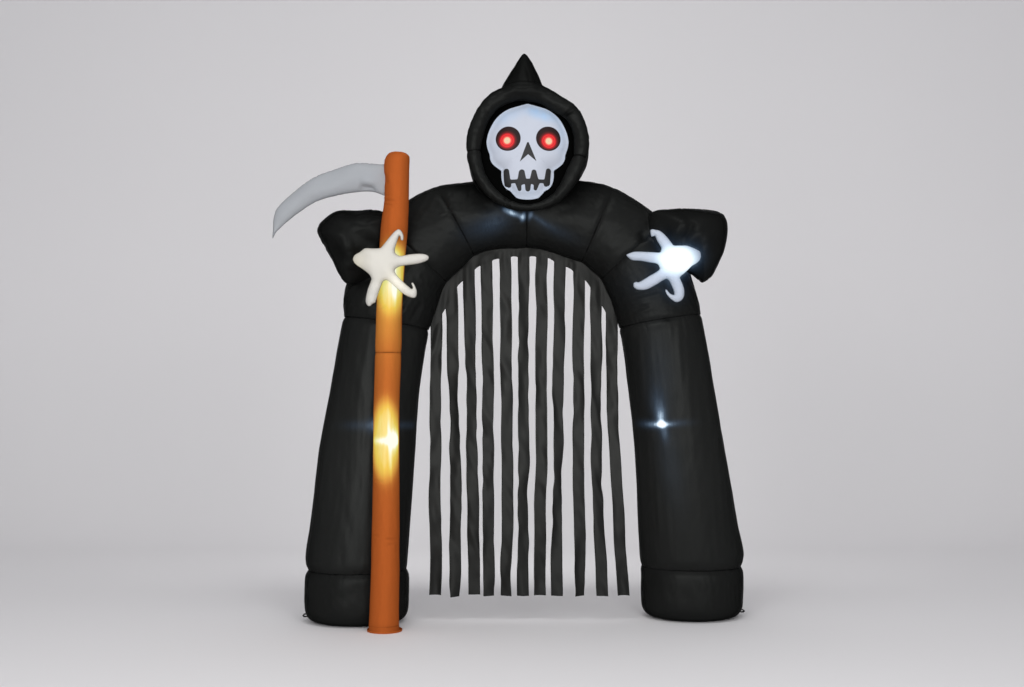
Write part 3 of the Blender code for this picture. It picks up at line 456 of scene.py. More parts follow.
class ArchStage(bpy.types.PropertyGroup):
    """Camera, floor and lights."""

    camera_x: FloatProperty(name="Camera X", description="From the doorway's middle", default=-0.0714)
    camera_y: FloatProperty(name="Camera Y", description="In front of the curtain", default=-6.0)
    camera_z: FloatProperty(name="Camera height", description="Above the floor", default=1.05)
    camera_tilt: FloatProperty(
        name="Camera tilt", description="Upwards", default=math.radians(2.89), subtype="ANGLE"
    )
    lens: FloatProperty(name="Lens", description="Focal length in mm, 36 mm sensor", default=42.82)
    wall: colour_setting("Wall", "Paper of the backdrop", (0.885, 0.872, 0.880))
    floor: colour_setting("Floor", "Paper of the floor", (0.810, 0.798, 0.805))


# ---- grids of cloth ----


def curve_at(rows, places):
    """Rows at `places` on the Catmull-Rom curve through the table's rows, all at once.

    Between two rows b and c, with neighbours a and d and t from 0 to 1, the row is half of
    2b + (c - a)t + (2a - 5b + 4c - d)t^2 + (3b - a - 3c + d)t^3.
    """
    rows = np.asarray(rows, float)
    longer = np.vstack((2 * rows[0] - rows[1], rows, 2 * rows[-1] - rows[-2]))
    base = np.clip(np.floor(places).astype(int), 0, len(rows) - 2)
    share = (np.asarray(places, float) - base)[:, None]
    before, first, second, after = (longer[base + k] for k in range(4))
    return 0.5 * (
        2 * first
        + (second - before) * share
        + (2 * before - 5 * first + 4 * second - after) * share**2
        + (3 * first - before - 3 * second + after) * share**3
    )


def loop_at(rows, places, turn=None):
    """As curve_at, for rows that close into a loop. `turn` is what one full loop adds to each column."""
    rows = np.asarray(rows, float)
    turn = np.zeros(rows.shape[1]) if turn is None else np.asarray(turn, float)
    repeated = np.vstack([rows + lap * turn for lap in (-1, 0, 1)])
    return curve_at(repeated, np.asarray(places, float) + len(rows))


def closed_loop(rows, count, turn=None):
    """`count` rows at even places round a loop."""
    return loop_at(rows, np.linspace(0, len(rows), count, endpoint=False), turn)


def even_places(curve, start, end, step):
    """Places from `start` to `end` whose points on the curve's middle line are about `step` apart."""
    fine = np.linspace(start, end, 400)
    rows = curve(fine)
    middle = np.column_stack((rows[:, 0] + rows[:, 2], rows[:, 1] + rows[:, 3], 2 * rows[:, 4])) / 2
    outer = np.linalg.norm(np.diff(rows[:, 2:4], axis=0), axis=1)
    path = np.maximum(np.linalg.norm(np.diff(middle, axis=0), axis=1), outer)
    length = np.concatenate(((0.0,), np.cumsum(path)))
    count = max(int(round(length[-1] / step)), 6) + 1
    return np.interp(np.linspace(0, length[-1], count), length, fine)


def ellipse_rings(sections, columns):
    """One ring of points for each section: its middle, plus cosine times half of its inner-to-outer line,
    plus sine times its depth along Y."""
    inner_x, inner_z, outer_x, outer_z, mid_y, half_deep = np.asarray(sections, float).T
    middle = np.column_stack(((inner_x + outer_x) / 2, mid_y, (inner_z + outer_z) / 2))
    across = np.column_stack(((outer_x - inner_x) / 2, np.zeros(len(mid_y)), (outer_z - inner_z) / 2))
    turn = turns(columns)
    deep = half_deep[:, None, None] * np.array((0.0, 1.0, 0.0))
    cosine, sine = np.cos(turn)[None, :, None], np.sin(turn)[None, :, None]
    return middle[:, None, :] + across[:, None, :] * cosine + deep * sine


class Bag:
    """A closed tube of cloth on a grid, with rows along it and columns round it."""

    def __init__(self, rings):
        self.points = rings
        along = np.gradient(rings, axis=0)
        around = np.roll(rings, -1, axis=1) - np.roll(rings, 1, axis=1)
        normal = np.cross(around, along)
        normal /= np.maximum(np.linalg.norm(normal, axis=2), 1e-12)[..., None]
        outward = np.sum(normal * (rings - rings.mean(axis=1, keepdims=True)), axis=2).mean()
        self.normals = normal * (1.0 if outward > 0 else -1.0)
        run = np.linalg.norm(np.diff(rings, axis=0), axis=2)
        self.from_start = np.vstack((np.zeros((1, rings.shape[1])), np.cumsum(run, axis=0)))
        self.from_end = self.from_start[-1] - self.from_start
        edge = np.linalg.norm(np.roll(rings, -1, axis=1) - rings, axis=2)
        self.girth = edge.sum(axis=1)
        self.around = np.cumsum(edge, axis=1) - edge
        self.seam = np.full(rings.shape[:2], 1.0)

    def push(self, relief):
        """Moves each point along its normal by the relief."""
        self.points = self.points + self.normals * relief[..., None]

    def in_front(self):
        """From 0 to 1: how far the cloth faces the front."""
        return smooth(-self.normals[..., 1], 0.0, 0.45)

    def ring(self, row):
        """The points of one ring, repeated for every row."""
        return np.broadcast_to(self.points[row], self.points.shape)


def turns(columns):
    """The angles of evenly spaced columns round a bag."""
    return np.arange(columns) * 2 * math.pi / columns


def smooth(value, low, high):
    """0 below `low`, 1 above `high`, and 3t^2 - 2t^3 between."""
    share = np.clip((value - low) / (high - low), 0.0, 1.0)
    return share * share * (3 - 2 * share)


def waves(points, size, seed, count=20):
    """Smooth noise with a spread of 1: the sum of cosine waves about `size` long in drawn directions."""
    draw = np.random.default_rng(seed)
    direction = draw.normal(size=(count, 3))
    direction /= np.linalg.norm(direction, axis=1)[:, None]
    pace = direction * (2 * math.pi / (size * draw.uniform(0.7, 1.7, count)))[:, None]
    phase = draw.uniform(0, 2 * math.pi, count)
    total = np.zeros(points.shape[:-1])
    for k in range(count):
        total += np.cos(points @ pace[k] + phase[k])
    return total * math.sqrt(2 / count)


def gathers(points, seam_points, distance, seed, size, depth, reach):
    """Gathers that run away from a seam: narrow valleys where slow noise along the seam crosses zero.

    The noise is read at the seam's own point plus a fifth of the way to the cloth's point, which draws
    it out along the cloth. Each valley fades with the distance, and each has its own depth and reach.
    """
    place = seam_points + 0.2 * (points - seam_points)
    valley = np.exp(-((waves(place, size, seed) / 0.42) ** 2))
    fine = np.exp(-((waves(place, size * 0.45, seed + 1) / 0.5) ** 2))
    own = np.clip(0.75 + 0.45 * waves(seam_points, size * 2.6, seed + 2), 0.15, 1.7)
    own_reach = reach * np.clip(0.9 + 0.45 * waves(seam_points, size * 1.4, seed + 3), 0.35, 2.0)
    fade = np.exp(-((distance / own_reach) ** 1.5))
    return -depth * own * fade * (0.75 * valley + 0.35 * fine * np.exp(-distance / (0.4 * reach)) - 0.30)


def rolled_edge(distance, pinch, roll):
    """The cloth curves in to a seam, `pinch` deep and `roll` long, and meets its neighbour at an angle."""
    near = 1 - np.clip(distance / roll, 0.0, 1.0)
    return -pinch * near**2.2


def creases(bag, table):
    """Troughs along short lines in the front view, on cloth that faces the front. Each is a bell of its
    half width across the line, with a low shoulder to either side, and fades at both ends."""
    relief = np.zeros(bag.points.shape[:-1])
    flat = bag.points[..., (0, 2)]
    for start_x, start_z, end_x, end_z, half_width, depth in table:
        start, line = np.array((start_x, start_z)), np.array((end_x - start_x, end_z - start_z))
        length = np.linalg.norm(line)
        along = (flat - start) @ (line / length) / length
        nearest = start + np.clip(along, 0, 1)[..., None] * line
        away = np.linalg.norm(flat - nearest, axis=-1) / half_width
        fade = smooth(along, -0.02, 0.35) * (1 - smooth(along, 0.65, 1.02))
        relief -= depth * fade * (np.exp(-(away**2)) - 0.4 * np.exp(-((away - 2.0) ** 2)))
    return relief * bag.in_front()


def lamp_light(points, table):
    """Light that shows through the cloth, from lamps given as ellipses in the front view. Each adds its
    strength times exp(-r^(2 sharpness)), where r is the distance from its middle, turned and scaled."""
    light = np.zeros(points.shape[:-1])
    for x, z, half_x, half_z, tilt_deg, sharpness, strength in table:
        turn = math.radians(tilt_deg)
        over, up = points[..., 0] - x, points[..., 2] - z
        first = (over * math.cos(turn) + up * math.sin(turn)) / half_x
        second = (up * math.cos(turn) - over * math.sin(turn)) / half_z
        light += strength * np.exp(-((first**2 + second**2) ** sharpness))
    return light


# ---- meshes ----


def new_mesh(name, points, quads, triangles, uv=None):
    """A mesh in the frame from arrays of quads and triangles. All faces are turned over where the volume
    that they close, a sixth of the sum of triple products, comes out negative."""
    points = points + ARCH_PLACE
    corners = [quads.reshape(-1)] if len(quads) else []
    if len(triangles):
        corners.append(triangles.reshape(-1))
    parts = [quads[:, (0, 1, 2)], quads[:, (0, 2, 3)]] if len(quads) else []
    parts.append(triangles.reshape(-1, 3))
    a, b, c = (points[np.vstack(parts)[:, k]] for k in range(3))
    inside_out = np.sum(a * np.cross(b, c)) < 0
    mesh = bpy.data.meshes.new(name)
    mesh.vertices.add(len(points))
    mesh.vertices.foreach_set("co", points.ravel())
    corners = np.concatenate(corners)
    starts = np.concatenate((np.arange(len(quads)) * 4, len(quads) * 4 + np.arange(len(triangles)) * 3))
    mesh.loops.add(len(corners))
    mesh.loops.foreach_set("vertex_index", corners)
    mesh.polygons.add(len(starts))
    mesh.polygons.foreach_set("loop_start", starts)
    mesh.update(calc_edges=True)
    if uv is not None:
        mesh.uv_layers.new(name="cloth").uv.foreach_set("vector", uv.ravel())
    if inside_out:
        mesh.flip_normals()
    mesh.validate()
    return mesh


def set_attribute(mesh, name, values):
    attribute = mesh.attributes.new(name, "FLOAT", "POINT")
    attribute.data.foreach_set("value", np.asarray(values, np.float32).ravel())


def new_piece(name, mesh, material, nodes, sharp_deg=55):
    """The object of a mesh, riding on the body and standing for its CAD nodes."""
    mesh.shade_smooth()
    mesh.set_sharp_from_angle(angle=math.radians(sharp_deg))
    mesh.materials.append(material)
    piece = bpy.data.objects.new(name, mesh)
    bpy.context.scene.collection.objects.link(piece)
    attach(piece, BODY)
    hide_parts(*nodes)
    return piece


def bag_mesh(name, bag, attributes):
    """Closes a bag with a fan at both ends and gives it a map in metres, round it and along it."""
    rows, columns = bag.points.shape[:2]
    index = np.arange(rows * columns).reshape(rows, columns)
    following = np.roll(index, -1, axis=1)
    quads = np.stack((index[:-1], following[:-1], following[1:], index[1:]), axis=-1).reshape(-1, 4)
    first, last = rows * columns, rows * columns + 1
    triangles = np.vstack(
        (
            np.column_stack((following[0], index[0], np.full(columns, first))),
            np.column_stack((index[-1], following[-1], np.full(columns, last))),
        )
    )
    middles = bag.points[0].mean(axis=0), bag.points[-1].mean(axis=0)
    points = np.vstack((bag.points.reshape(-1, 3), *middles))
    here = bag.around
    there = np.column_stack((bag.around[:, 1:], bag.girth))
    down = bag.from_start
    onward = np.roll(down, -1, axis=1)
    corners = (
        (here[:-1], down[:-1]),
        (there[:-1], onward[:-1]),
        (there[1:], onward[1:]),
        (here[1:], down[1:]),
    )
    quad_uv = np.stack([np.stack(corner, axis=-1) for corner in corners], axis=2).reshape(-1, 2)
    cap_uv = np.zeros((len(triangles) * 3, 2))
    cap_uv[:, 0] = np.repeat(np.concatenate((here[0], here[-1])), 3)
    mesh = new_mesh(name, points, quads, triangles, np.vstack((quad_uv, cap_uv)))
    for key, values in {"seam": bag.seam, **attributes}.items():
        ends = (values[0].mean(), values[-1].mean())
        set_attribute(mesh, key, np.concatenate((values.ravel(), ends)))
    return mesh


def seam_gathers(bag, seam_points, distance, seed, depth=1.0, reach=1.0):
    """Gathers of the settings' size, `depth` and `reach` times as deep and as long."""
    cloth = bpy.context.scene.arch_cloth
    deep, far = cloth.pucker_depth * depth, cloth.pucker_reach * reach
    return gathers(bag.points, seam_points, distance, seed, cloth.pucker_size, deep, far)


def sew_end(bag, at_start, seed, depth=1.0, reach=1.0, pinch=1.0):
    """The relief of a sewn end: the rolled edge, and the gathers that run away from the seam."""
    cloth = bpy.context.scene.arch_cloth
    distance = bag.from_start if at_start else bag.from_end
    bag.seam = np.minimum(bag.seam, distance)
    relief = rolled_edge(distance, cloth.seam_pinch * pinch, cloth.seam_roll)
    return relief + seam_gathers(bag, bag.ring(0 if at_start else -1), distance, seed, depth, reach)


def fill_out(bag, seed, swell=1.0, stretch=(1.0, 1.0, 1.0), crumple=1.0):
    """Slow unevenness and small dents, both gone at the ends. Both come out longer along an axis for
    which `stretch` is below 1."""
    cloth = bpy.context.scene.arch_cloth
    calm = smooth(np.minimum(bag.from_start, bag.from_end), 0.0, 0.06)
    slow = waves(bag.points * np.array(stretch), 0.22, seed)
    small = waves(bag.points * np.array(stretch), 0.035, seed + 5)
    return calm * (cloth.swell * swell * slow + cloth.crumple * crumple * small)


def finish_bag(name, bag, material, lamps=(), tone=1.0, halo=0.0):
    """The piece of a bag, with the light of its lamps and a halo where it faces the front, dimmer beside
    a seam. Its tone is painted shade: a factor on its colour, lowered further where shade and shadow are
    painted in folds, in pinches and beside the pole."""
    in_front = bag.in_front()
    dimmer = LIGHT_AT_SEAM + (1 - LIGHT_AT_SEAM) * smooth(bag.seam, 0.0, DIM_BESIDE_SEAM)
    light = (lamp_light(bag.points, lamps) + halo) * in_front * dimmer
    # painted shade and shadow: darker in the spots of folds, pinches and the pole's shadow, where the
    # cloth faces the front
    tone = tone * (1 - np.minimum(lamp_light(bag.points, PAINTED_SHADE_SPOTS), 0.8) * in_front)
    mesh = bag_mesh(name, bag, {"glow": light, "tone": tone + 0 * bag.seam})
    return new_piece(name, mesh, material, [name])


# ---- finishes ----


class Link:
    """One output of a node. Arithmetic on it adds Math nodes and gives the Link of their result."""

    def __init__(self, finish, socket):
        self.finish = finish
        self.socket = socket

    def __add__(self, other):
        return self.finish.math("ADD", self, other)

    __radd__ = __add__

    def __sub__(self, other):
        return self.finish.math("SUBTRACT", self, other)

    def __rsub__(self, other):
        return self.finish.math("SUBTRACT", other, self)

    def __mul__(self, other):
        return self.finish.math("MULTIPLY", self, other)

    __rmul__ = __mul__

    def __truediv__(self, other):
        return self.finish.math("DIVIDE", self, other)

    def __rtruediv__(self, other):
        return self.finish.math("DIVIDE", other, self)

    def __abs__(self):
        return self.finish.math("ABSOLUTE", self)

    def sine(self):
        return self.finish.math("SINE", self)

    def fraction(self):
        return self.finish.math("FRACT", self)

    def held(self):
        """Held between 0 and 1."""
        return self.finish.math("ADD", self, 0.0, clamp=True)

    def between(self, low, high):
        """0 below `low`, 1 above `high`, smooth between."""
        settings = {"interpolation_type": "SMOOTHSTEP", "clamp": True}
        inputs = {"Value": self, "From Min": low, "From Max": high}
        return self.finish.add("ShaderNodeMapRange", settings, inputs)


class Finish:
    """A material that is being built."""

    def __init__(self, name, constants):
        self.material = bpy.data.materials.new(name)
        self.material.use_nodes = True
        self.tree = self.material.node_tree
        self.shader = self.tree.nodes["Principled BSDF"]
        for key, value in constants.items():
            self.shader.inputs[key].default_value = value

    def add(self, kind, settings=None, inputs=None, output=0):
        """Adds a node: its settings first, then the values or links of its sockets."""
        node = self.tree.nodes.new(kind)
        for key, value in (settings or {}).items():
            if key == "stops":
                ramp = node.color_ramp
                while len(ramp.elements) < len(value):
                    ramp.elements.new(0.5)
                for element, (position, colour) in zip(ramp.elements, value):
                    element.position = position
                    element.color = (*colour, 1.0)
            else:
                setattr(node, key, value)
        for key, value in (inputs or {}).items():
            self.connect(node.inputs[key], value)
        return Link(self, node.outputs[output])

    def math(self, operation, *values, clamp=False):
        settings = {"operation": operation, "use_clamp": clamp}
        return self.add("ShaderNodeMath", settings, dict(enumerate(values)))

    def connect(self, socket, value):
        if isinstance(value, Link):
            self.tree.links.new(value.socket, socket)
        elif socket.type == "RGBA" and len(value) == 3:
            socket.default_value = (*value, 1.0)
        else:
            socket.default_value = value

    def feed(self, name, value):
        self.connect(self.shader.inputs[name], value)

    def attribute(self, name):
        return self.add("ShaderNodeAttribute", {"attribute_name": name}, output="Fac")

    def place(self):
        return self.add("ShaderNodeTexCoord", output="Object")

    def parts(self, vector):
        """The three coordinates of a vector."""
        node = self.add("ShaderNodeSeparateXYZ", None, {0: vector}).socket.node
        return [Link(self, output) for output in node.outputs]

    def cloth_map(self):
        """The two coordinates of the piece's own map, in metres."""
        return self.parts(self.add("ShaderNodeUVMap", {"uv_map": "cloth"}))[:2]

    def noise(self, scale, detail=2.0, stretch=(1.0, 1.0, 1.0)):
        where = self.add("ShaderNodeMapping", None, {"Vector": self.place(), "Scale": stretch})
        return self.add("ShaderNodeTexNoise", None, {"Vector": where, "Scale": scale, "Detail": detail})

    def mix(self, factor, first, second):
        settings = {"data_type": "RGBA", "clamp_factor": True}
        return self.add("ShaderNodeMix", settings, {0: factor, 6: first, 7: second}, output=2)

    def scaled(self, colour, factor):
        return self.add("ShaderNodeVectorMath", {"operation": "SCALE"}, {0: colour, "Scale": factor})

    def ramp(self, value, stops):
        return self.add("ShaderNodeValToRGB", {"stops": stops}, {0: value})

    def bump(self, height, distance, strength=1.0, normal=None):
        inputs = {"Height": height, "Distance": distance, "Strength": strength}
        if normal is not None:
            inputs["Normal"] = normal
        return self.add("ShaderNodeBump", None, inputs)


def setting_colour(name):
    """A colour of the settings."""
    return tuple(getattr(bpy.context.scene.arch_colours, name))


def stitches(finish):
    """From 0 to 1: a line of short stitches beside each seam."""
    cloth = bpy.context.scene.arch_cloth
    along, _ = finish.cloth_map()
    off = abs(finish.attribute("seam") - cloth.stitch_inset)
    line = 1 - off.between(0.0004, 0.0010)
    dash = (along / cloth.stitch_pitch).fraction()
    return line * dash.between(0.08, 0.16) * (1 - dash.between(0.68, 0.76))


def cloth_finish(name, dye, roughness, thread, variation=0.16, satin=0.0, lit=False, crinkle=0.00035):
    """Plain-woven nylon: slow and fine changes of its dye, a worn sheen, yarns, small crinkles, the shade
    in a seam and its stitches. `dye` names a colour of the settings, and `thread` is the stitches' colour.
    Gives the finish and its colour, for what is printed or lit.

    Black satin reflects about as much at a glance as straight on, as its yarns hide each other's grazing
    shine. So `satin` gives its share of reflection as metal of the cloth's own colour."""
    cloth = bpy.context.scene.arch_cloth
    constants = {"Metallic": satin, "Specular IOR Level": 0.0 if satin else 0.2}
    constants["Specular Tint"] = (0.4, 0.4, 0.4, 1.0) if satin else (1.0, 1.0, 1.0, 1.0)
    constants["Emission Strength"] = 1.0 if lit else 0.0
    finish = Finish(name, constants)
    slow = finish.noise(3.0, 3.0, (1.0, 1.0, 0.4))
    fine = finish.noise(60.0, 3.0)
    mottle = (slow - 0.5) * (2 * variation) + (fine - 0.5) * variation
    dyed = setting_colour(dye)
    darker = tuple(part * (1 - 1.6 * variation) for part in dyed)
    lighter = tuple(min(part * (1 + 1.6 * variation), 1.0) for part in dyed)
    base = finish.mix(mottle + 0.5, darker, lighter)
    in_seam = 1 - finish.attribute("seam").between(0.0008, 0.0042)
    in_seam = in_seam * (0.35 + 0.5 * finish.noise(14.0, 2.0).between(0.35, 0.60))
    base = finish.mix(in_seam, base, tuple(part * 0.25 for part in dyed))
    sewn = stitches(finish)
    base = finish.mix(sewn * 0.8, base, thread)
    finish.feed("Roughness", (slow - 0.5) * 0.16 + (fine - 0.5) * 0.10 + roughness)
    across, along = finish.cloth_map()
    pace = 2 * math.pi / cloth.weave_pitch
    yarns = (across * pace).sine() * (along * pace).sine()
    normal = finish.bump(finish.noise(38.0, 4.0, (1.0, 1.0, 0.6)), crinkle * 6, 0.45)
    normal = finish.bump(yarns, 0.00012, 0.25, normal)
    normal = finish.bump(sewn, 0.0006, 0.8, normal)
    finish.feed("Normal", normal)
    return finish, base


def black_nylon():
    """Black nylon, its colour scaled by the piece's tone, which is painted shade. Lamps behind it shine
    through, cool and speckled.
    """
    finish, base = cloth_finish("black_nylon", "black", 0.38, (0.03, 0.03, 0.031), satin=0.5, lit=True)
    # painted shade: the colour is scaled down by the piece's tone
    finish.feed("Base Color", finish.scaled(base, finish.attribute("tone")))
    glow = finish.attribute("glow")
    crinkled = finish.noise(110.0, 2.0, (1.0, 1.0, 0.16))
    speckle = 0.35 + 0.50 * finish.noise(300.0, 2.0) + 0.80 * crinkled
    stops = (
        (0.0, (0.0, 0.0, 0.0)),
        (0.10, (0.011, 0.020, 0.035)),
        (0.35, (0.100, 0.150, 0.220)),
        (0.70, (0.640, 0.820, 1.0)),
        (1.0, (1.0, 1.0, 1.0)),
    )
    finish.feed("Emission Color", finish.ramp((glow * speckle).held(), stops))
    return finish.material


def curtain_nylon():
    """Nylon of the strips, with painted shade: darker towards the hem than at the top."""
    finish, base = cloth_finish(
        "curtain_nylon", "curtain", 0.50, (0.03, 0.03, 0.03), satin=0.4, crinkle=0.0005
    )
    # painted shade: from 0.78 of the colour near the floor to 1.02 of it from 1 m up
    height = finish.parts(finish.place())[2].between(0.1, 1.0)
    finish.feed("Base Color", finish.scaled(base, height * 0.24 + 0.78))
    return finish.material


def pole_nylon():
    """Orange nylon with warm lamps behind it: the light goes from orange through yellow to white."""
    finish, base = cloth_finish("pole_nylon", "pole", 0.50, (0.30, 0.07, 0.014), satin=0.2, lit=True)
    glow = finish.attribute("glow")
    stops = (
        (0.0, (0.0, 0.0, 0.0)),
        (0.20, (0.110, 0.070, 0.012)),
        (0.45, (0.310, 0.240, 0.040)),
        (0.70, (0.460, 0.500, 0.080)),
        (0.86, (0.540, 0.720, 0.300)),
        (1.0, (0.700, 0.940, 0.850)),
    )
    streak = 0.9 + 0.2 * finish.noise(90.0, 2.0, (1.0, 1.0, 0.12))
    finish.feed("Base Color", base)
    finish.feed("Emission Color", finish.ramp((glow * streak).held(), stops))
    return finish.material


def hand_nylon(name, dye, dim, bright):
    """White nylon with a lamp behind it, whose light is `dim` at its edge and `bright` nearer to it."""
    finish, base = cloth_finish(name, dye, 0.50, (0.60, 0.58, 0.54), 0.03, lit=True)
    stops = ((0.0, (0.0, 0.0, 0.0)), (0.35, dim), (0.70, bright), (1.0, (0.80, 0.84, 0.86)))
    finish.feed("Base Color", base)
    finish.feed("Emission Color", finish.ramp(finish.attribute("glow").held(), stops))
    return finish.material


def blade_nylon():
    """Grey nylon, darker within 10 mm of the seam along its outline."""
    finish, base = cloth_finish("blade_nylon", "blade", 0.45, (0.20, 0.20, 0.20), 0.04)
    beside_seam = 1 - finish.attribute("seam").between(0.001, 0.010)
    finish.feed("Base Color", finish.mix(beside_seam * 0.55, base, (0.10, 0.105, 0.11)))
    return finish.material


def webbing_tape():
    finish, base = cloth_finish("webbing_tape", "webbing", 0.75, (0.03, 0.03, 0.03))
    finish.feed("Base Color", base)
    return finish.material


def skull_print():
    """White nylon, lit from behind, with painted blue shade in spots mostly towards its edge and painted
    light within 40 mm of its seam. The nose and mouth are printed where their signed distance is below
    zero, and each eye is a dark disc with a red lamp in it."""
    finish, base = cloth_finish("skull_print", "bone", 0.48, (0.45, 0.50, 0.60), 0.02, lit=True)
    # painted light: the skull's glow is raised within 40 mm of its seam
    edge = 1 - finish.attribute("rim").between(0.002, 0.040)
    cloud = finish.noise(16.0, 3.0).between(0.30, 0.70)
    # painted shade: bluer bone where the skull's shade spots lie
    painted_blue_shade = finish.attribute("shade") * (cloud * 0.5 + 0.6)
    bone = finish.mix(painted_blue_shade, base, setting_colour("bone_shade"))
    printed = 1 - finish.attribute("print").between(-0.0007, 0.0007)
    socket_rim = 1 - finish.attribute("eye").between(-0.0007, 0.0007)
    lit = finish.attribute("eye_lamp")
    red = finish.ramp(
        lit / 13.0,
        (
            (0.0, (0.62, 0.62, 0.40)),
            (0.09, (0.90, 0.66, 0.42)),
            (0.22, (0.90, 0.58, 0.36)),
            (0.29, (0.95, 0.090, 0.075)),
            (0.35, (0.92, 0.055, 0.050)),
            (0.42, (0.62, 0.012, 0.018)),
            (0.46, (0.90, 0.040, 0.040)),
            (0.52, (0.72, 0.010, 0.018)),
            (0.62, (0.14, 0.010, 0.010)),
            (0.78, (0.020, 0.005, 0.004)),
            (1.0, (0.007, 0.002, 0.002)),
        ),
    )
    outline = finish.attribute("eye").between(-0.0060, -0.0035)
    base = finish.mix(printed, bone, setting_colour("print_black"))
    base = finish.mix(socket_rim, base, (0.005, 0.001, 0.001))
    finish.feed("Base Color", base)
    # the glow of the lamp behind, bluer in the painted shade and stronger near the seam as painted light
    bone_light = finish.mix(painted_blue_shade, (0.075, 0.080, 0.092), (0.030, 0.070, 0.110))
    bone_light = finish.mix(edge, bone_light, (0.330, 0.370, 0.440))
    light = finish.mix(printed, bone_light, (0.004, 0.004, 0.004))
    eye_light = finish.mix(outline, red, (0.010, 0.003, 0.004))
    light = finish.mix(socket_rim, light, eye_light)
    finish.feed("Emission Color", light)
    return finish.material


# ---- pieces ----


def path_bag(rows, start, end, step, columns):
    """A bag through part of a table of sections, with evenly spaced rings."""

    def sections(places):
        return curve_at(rows, places)

    return Bag(ellipse_rings(sections(even_places(sections, start, end, step)), columns))


class ARCH_OT_legs(bpy.types.Operator):
    """Legs and feet, drawn in at the cinch between them"""

    bl_idname = "arch.legs"
    bl_label = "Legs and feet"

    def execute(self, context):
        cloth = context.scene.arch_cloth
        material = black_nylon()
        for number, (side, leg, foot) in enumerate(
            (("left", LEFT_LEG, LEFT_FOOT), ("right", RIGHT_LEG, RIGHT_FOOT))
        ):
            seed = 100 + 40 * number
            bag = path_bag(leg, 0, len(leg) - 1, cloth.step, LEG_COLUMNS)
            relief = sew_end(bag, True, seed)
            relief += sew_end(bag, False, seed + 4, depth=0.8, reach=0.8, pinch=0.3)
            relief += fill_out(bag, seed + 8, stretch=(1.0, 1.0, 0.18))
            relief += creases(bag, FRONT_CREASES)
            bag.push(relief)
            high = bag.points[..., 2]
            # painted shade: darker towards the floor and towards the yoke than in the middle
            tone = 0.86 + 0.12 * smooth(high, 0.3, 0.8) - 0.10 * smooth(high, 0.9, 1.5)
            bag.seam = bag.seam + LEG_SEAM_SOFTER
            finish_bag(f"{side}_leg", bag, material, BODY_LAMPS, tone=tone)
            bag = path_bag(foot, 0, len(foot) - 1, cloth.step, LEG_COLUMNS)
            above = smooth(bag.from_end, 0.02, 0.16)
            relief = sew_end(bag, True, seed + 12, reach=0.9, pinch=0.3)
            relief = relief * np.maximum(above, smooth(0.06 - bag.from_start, 0.0, 0.02))
            relief += fill_out(bag, seed + 16, stretch=(1.0, 1.0, 0.5)) * above
            bag.push(relief)
            bag.seam = bag.seam + LEG_SEAM_SOFTER
            # painted shade: the feet come out darker than the legs
            finish_bag(f"{side}_foot", bag, material, tone=0.72)
        return {"FINISHED"}


def arch_front(points):
    """How far to the front the arch reaches at each point's place in the front view: a half ellipse of the
    section whose line runs through the point. Past the arch's edge it slopes to the back."""
    rows = curve_at(ARCH, np.linspace(0, len(ARCH) - 1, 200))
    middle, half = (rows[:, 0:2] + rows[:, 2:4]) / 2, (rows[:, 2:4] - rows[:, 0:2]) / 2
    size = np.linalg.norm(half, axis=1)
    flat = points.reshape(-1, 3)[:, (0, 2)]
    over, up = flat[:, :1] - middle[:, 0], flat[:, 1:] - middle[:, 1]
    along = (over * half[:, 0] + up * half[:, 1]) / size**2
    aside = (over * half[:, 1] - up * half[:, 0]) / size
    share = aside[:, :-1] / (aside[:, :-1] - aside[:, 1:] + 1e-12)
    away = np.abs(along[:, :-1] + share * np.diff(along, axis=1))
    away = np.where((share >= 0) & (share <= 1), away, 9.0)
    best = np.argmin(away, axis=1)
    away = away[np.arange(len(flat)), best]
    front = size[best] * np.maximum(away - 1, 0) - rows[best, 5] * np.sqrt(np.clip(1 - away**2, 0, 1))
    return front.reshape(points.shape[:-1])


def sleeve_front(points, corners, middle):
    """The same for a sleeve, whose outline is read by its angle round the sleeve's middle."""
    outline = closed_loop(corners, 2 * SLEEVE_GRID[0]) - middle
    angle = np.arctan2(outline[:, 1], outline[:, 0])
    order = np.argsort(angle)
    flat = points[..., (0, 2)] - middle
    turn = np.arctan2(flat[..., 1], flat[..., 0])
    reach = np.interp(turn, angle[order], np.linalg.norm(outline, axis=1)[order], period=2 * math.pi)
    share = np.linalg.norm(flat, axis=-1) / reach
    past = reach * np.maximum(share - 1, 0)
    return SLEEVE_MID_Y + past - SLEEVE_FRONT * np.sqrt(np.clip(1 - share**2, 0, 1))


def one_front(bag, other, fillet=0.065):
    """Fills the corner where a bag's front meets `other`, the Y of the next bag's front: each of the two
    comes forward by (fillet - difference)^2 / (4 fillet), as in `joined`."""
    near = np.maximum(fillet - np.abs(bag.points[..., 1] - other), 0.0)
    forward = near**2 / (4 * fillet) * smooth(-bag.normals[..., 1], 0.0, 0.08)
    bag.points = bag.points - forward[..., None] * np.array((0.0, 1.0, 0.0))


def arch_painted_shade(points):
    """Painted shade on the arch's panels and on the sleeves: a factor on their colour, lower from the
    shoulders outwards and in the shade beside the hood."""
    over, up = points[..., 0], points[..., 2]
    beside_hood = (1 - smooth(np.hypot(over - HEAD_X, up - HEAD_Z), 0.33, 0.50)) * smooth(up, 1.95, 2.03)
    outwards = smooth(np.abs(over), 0.56, 0.72) * smooth(up, 1.60, 1.70)
    return 0.75 - 0.19 * outwards - 0.38 * beside_hood


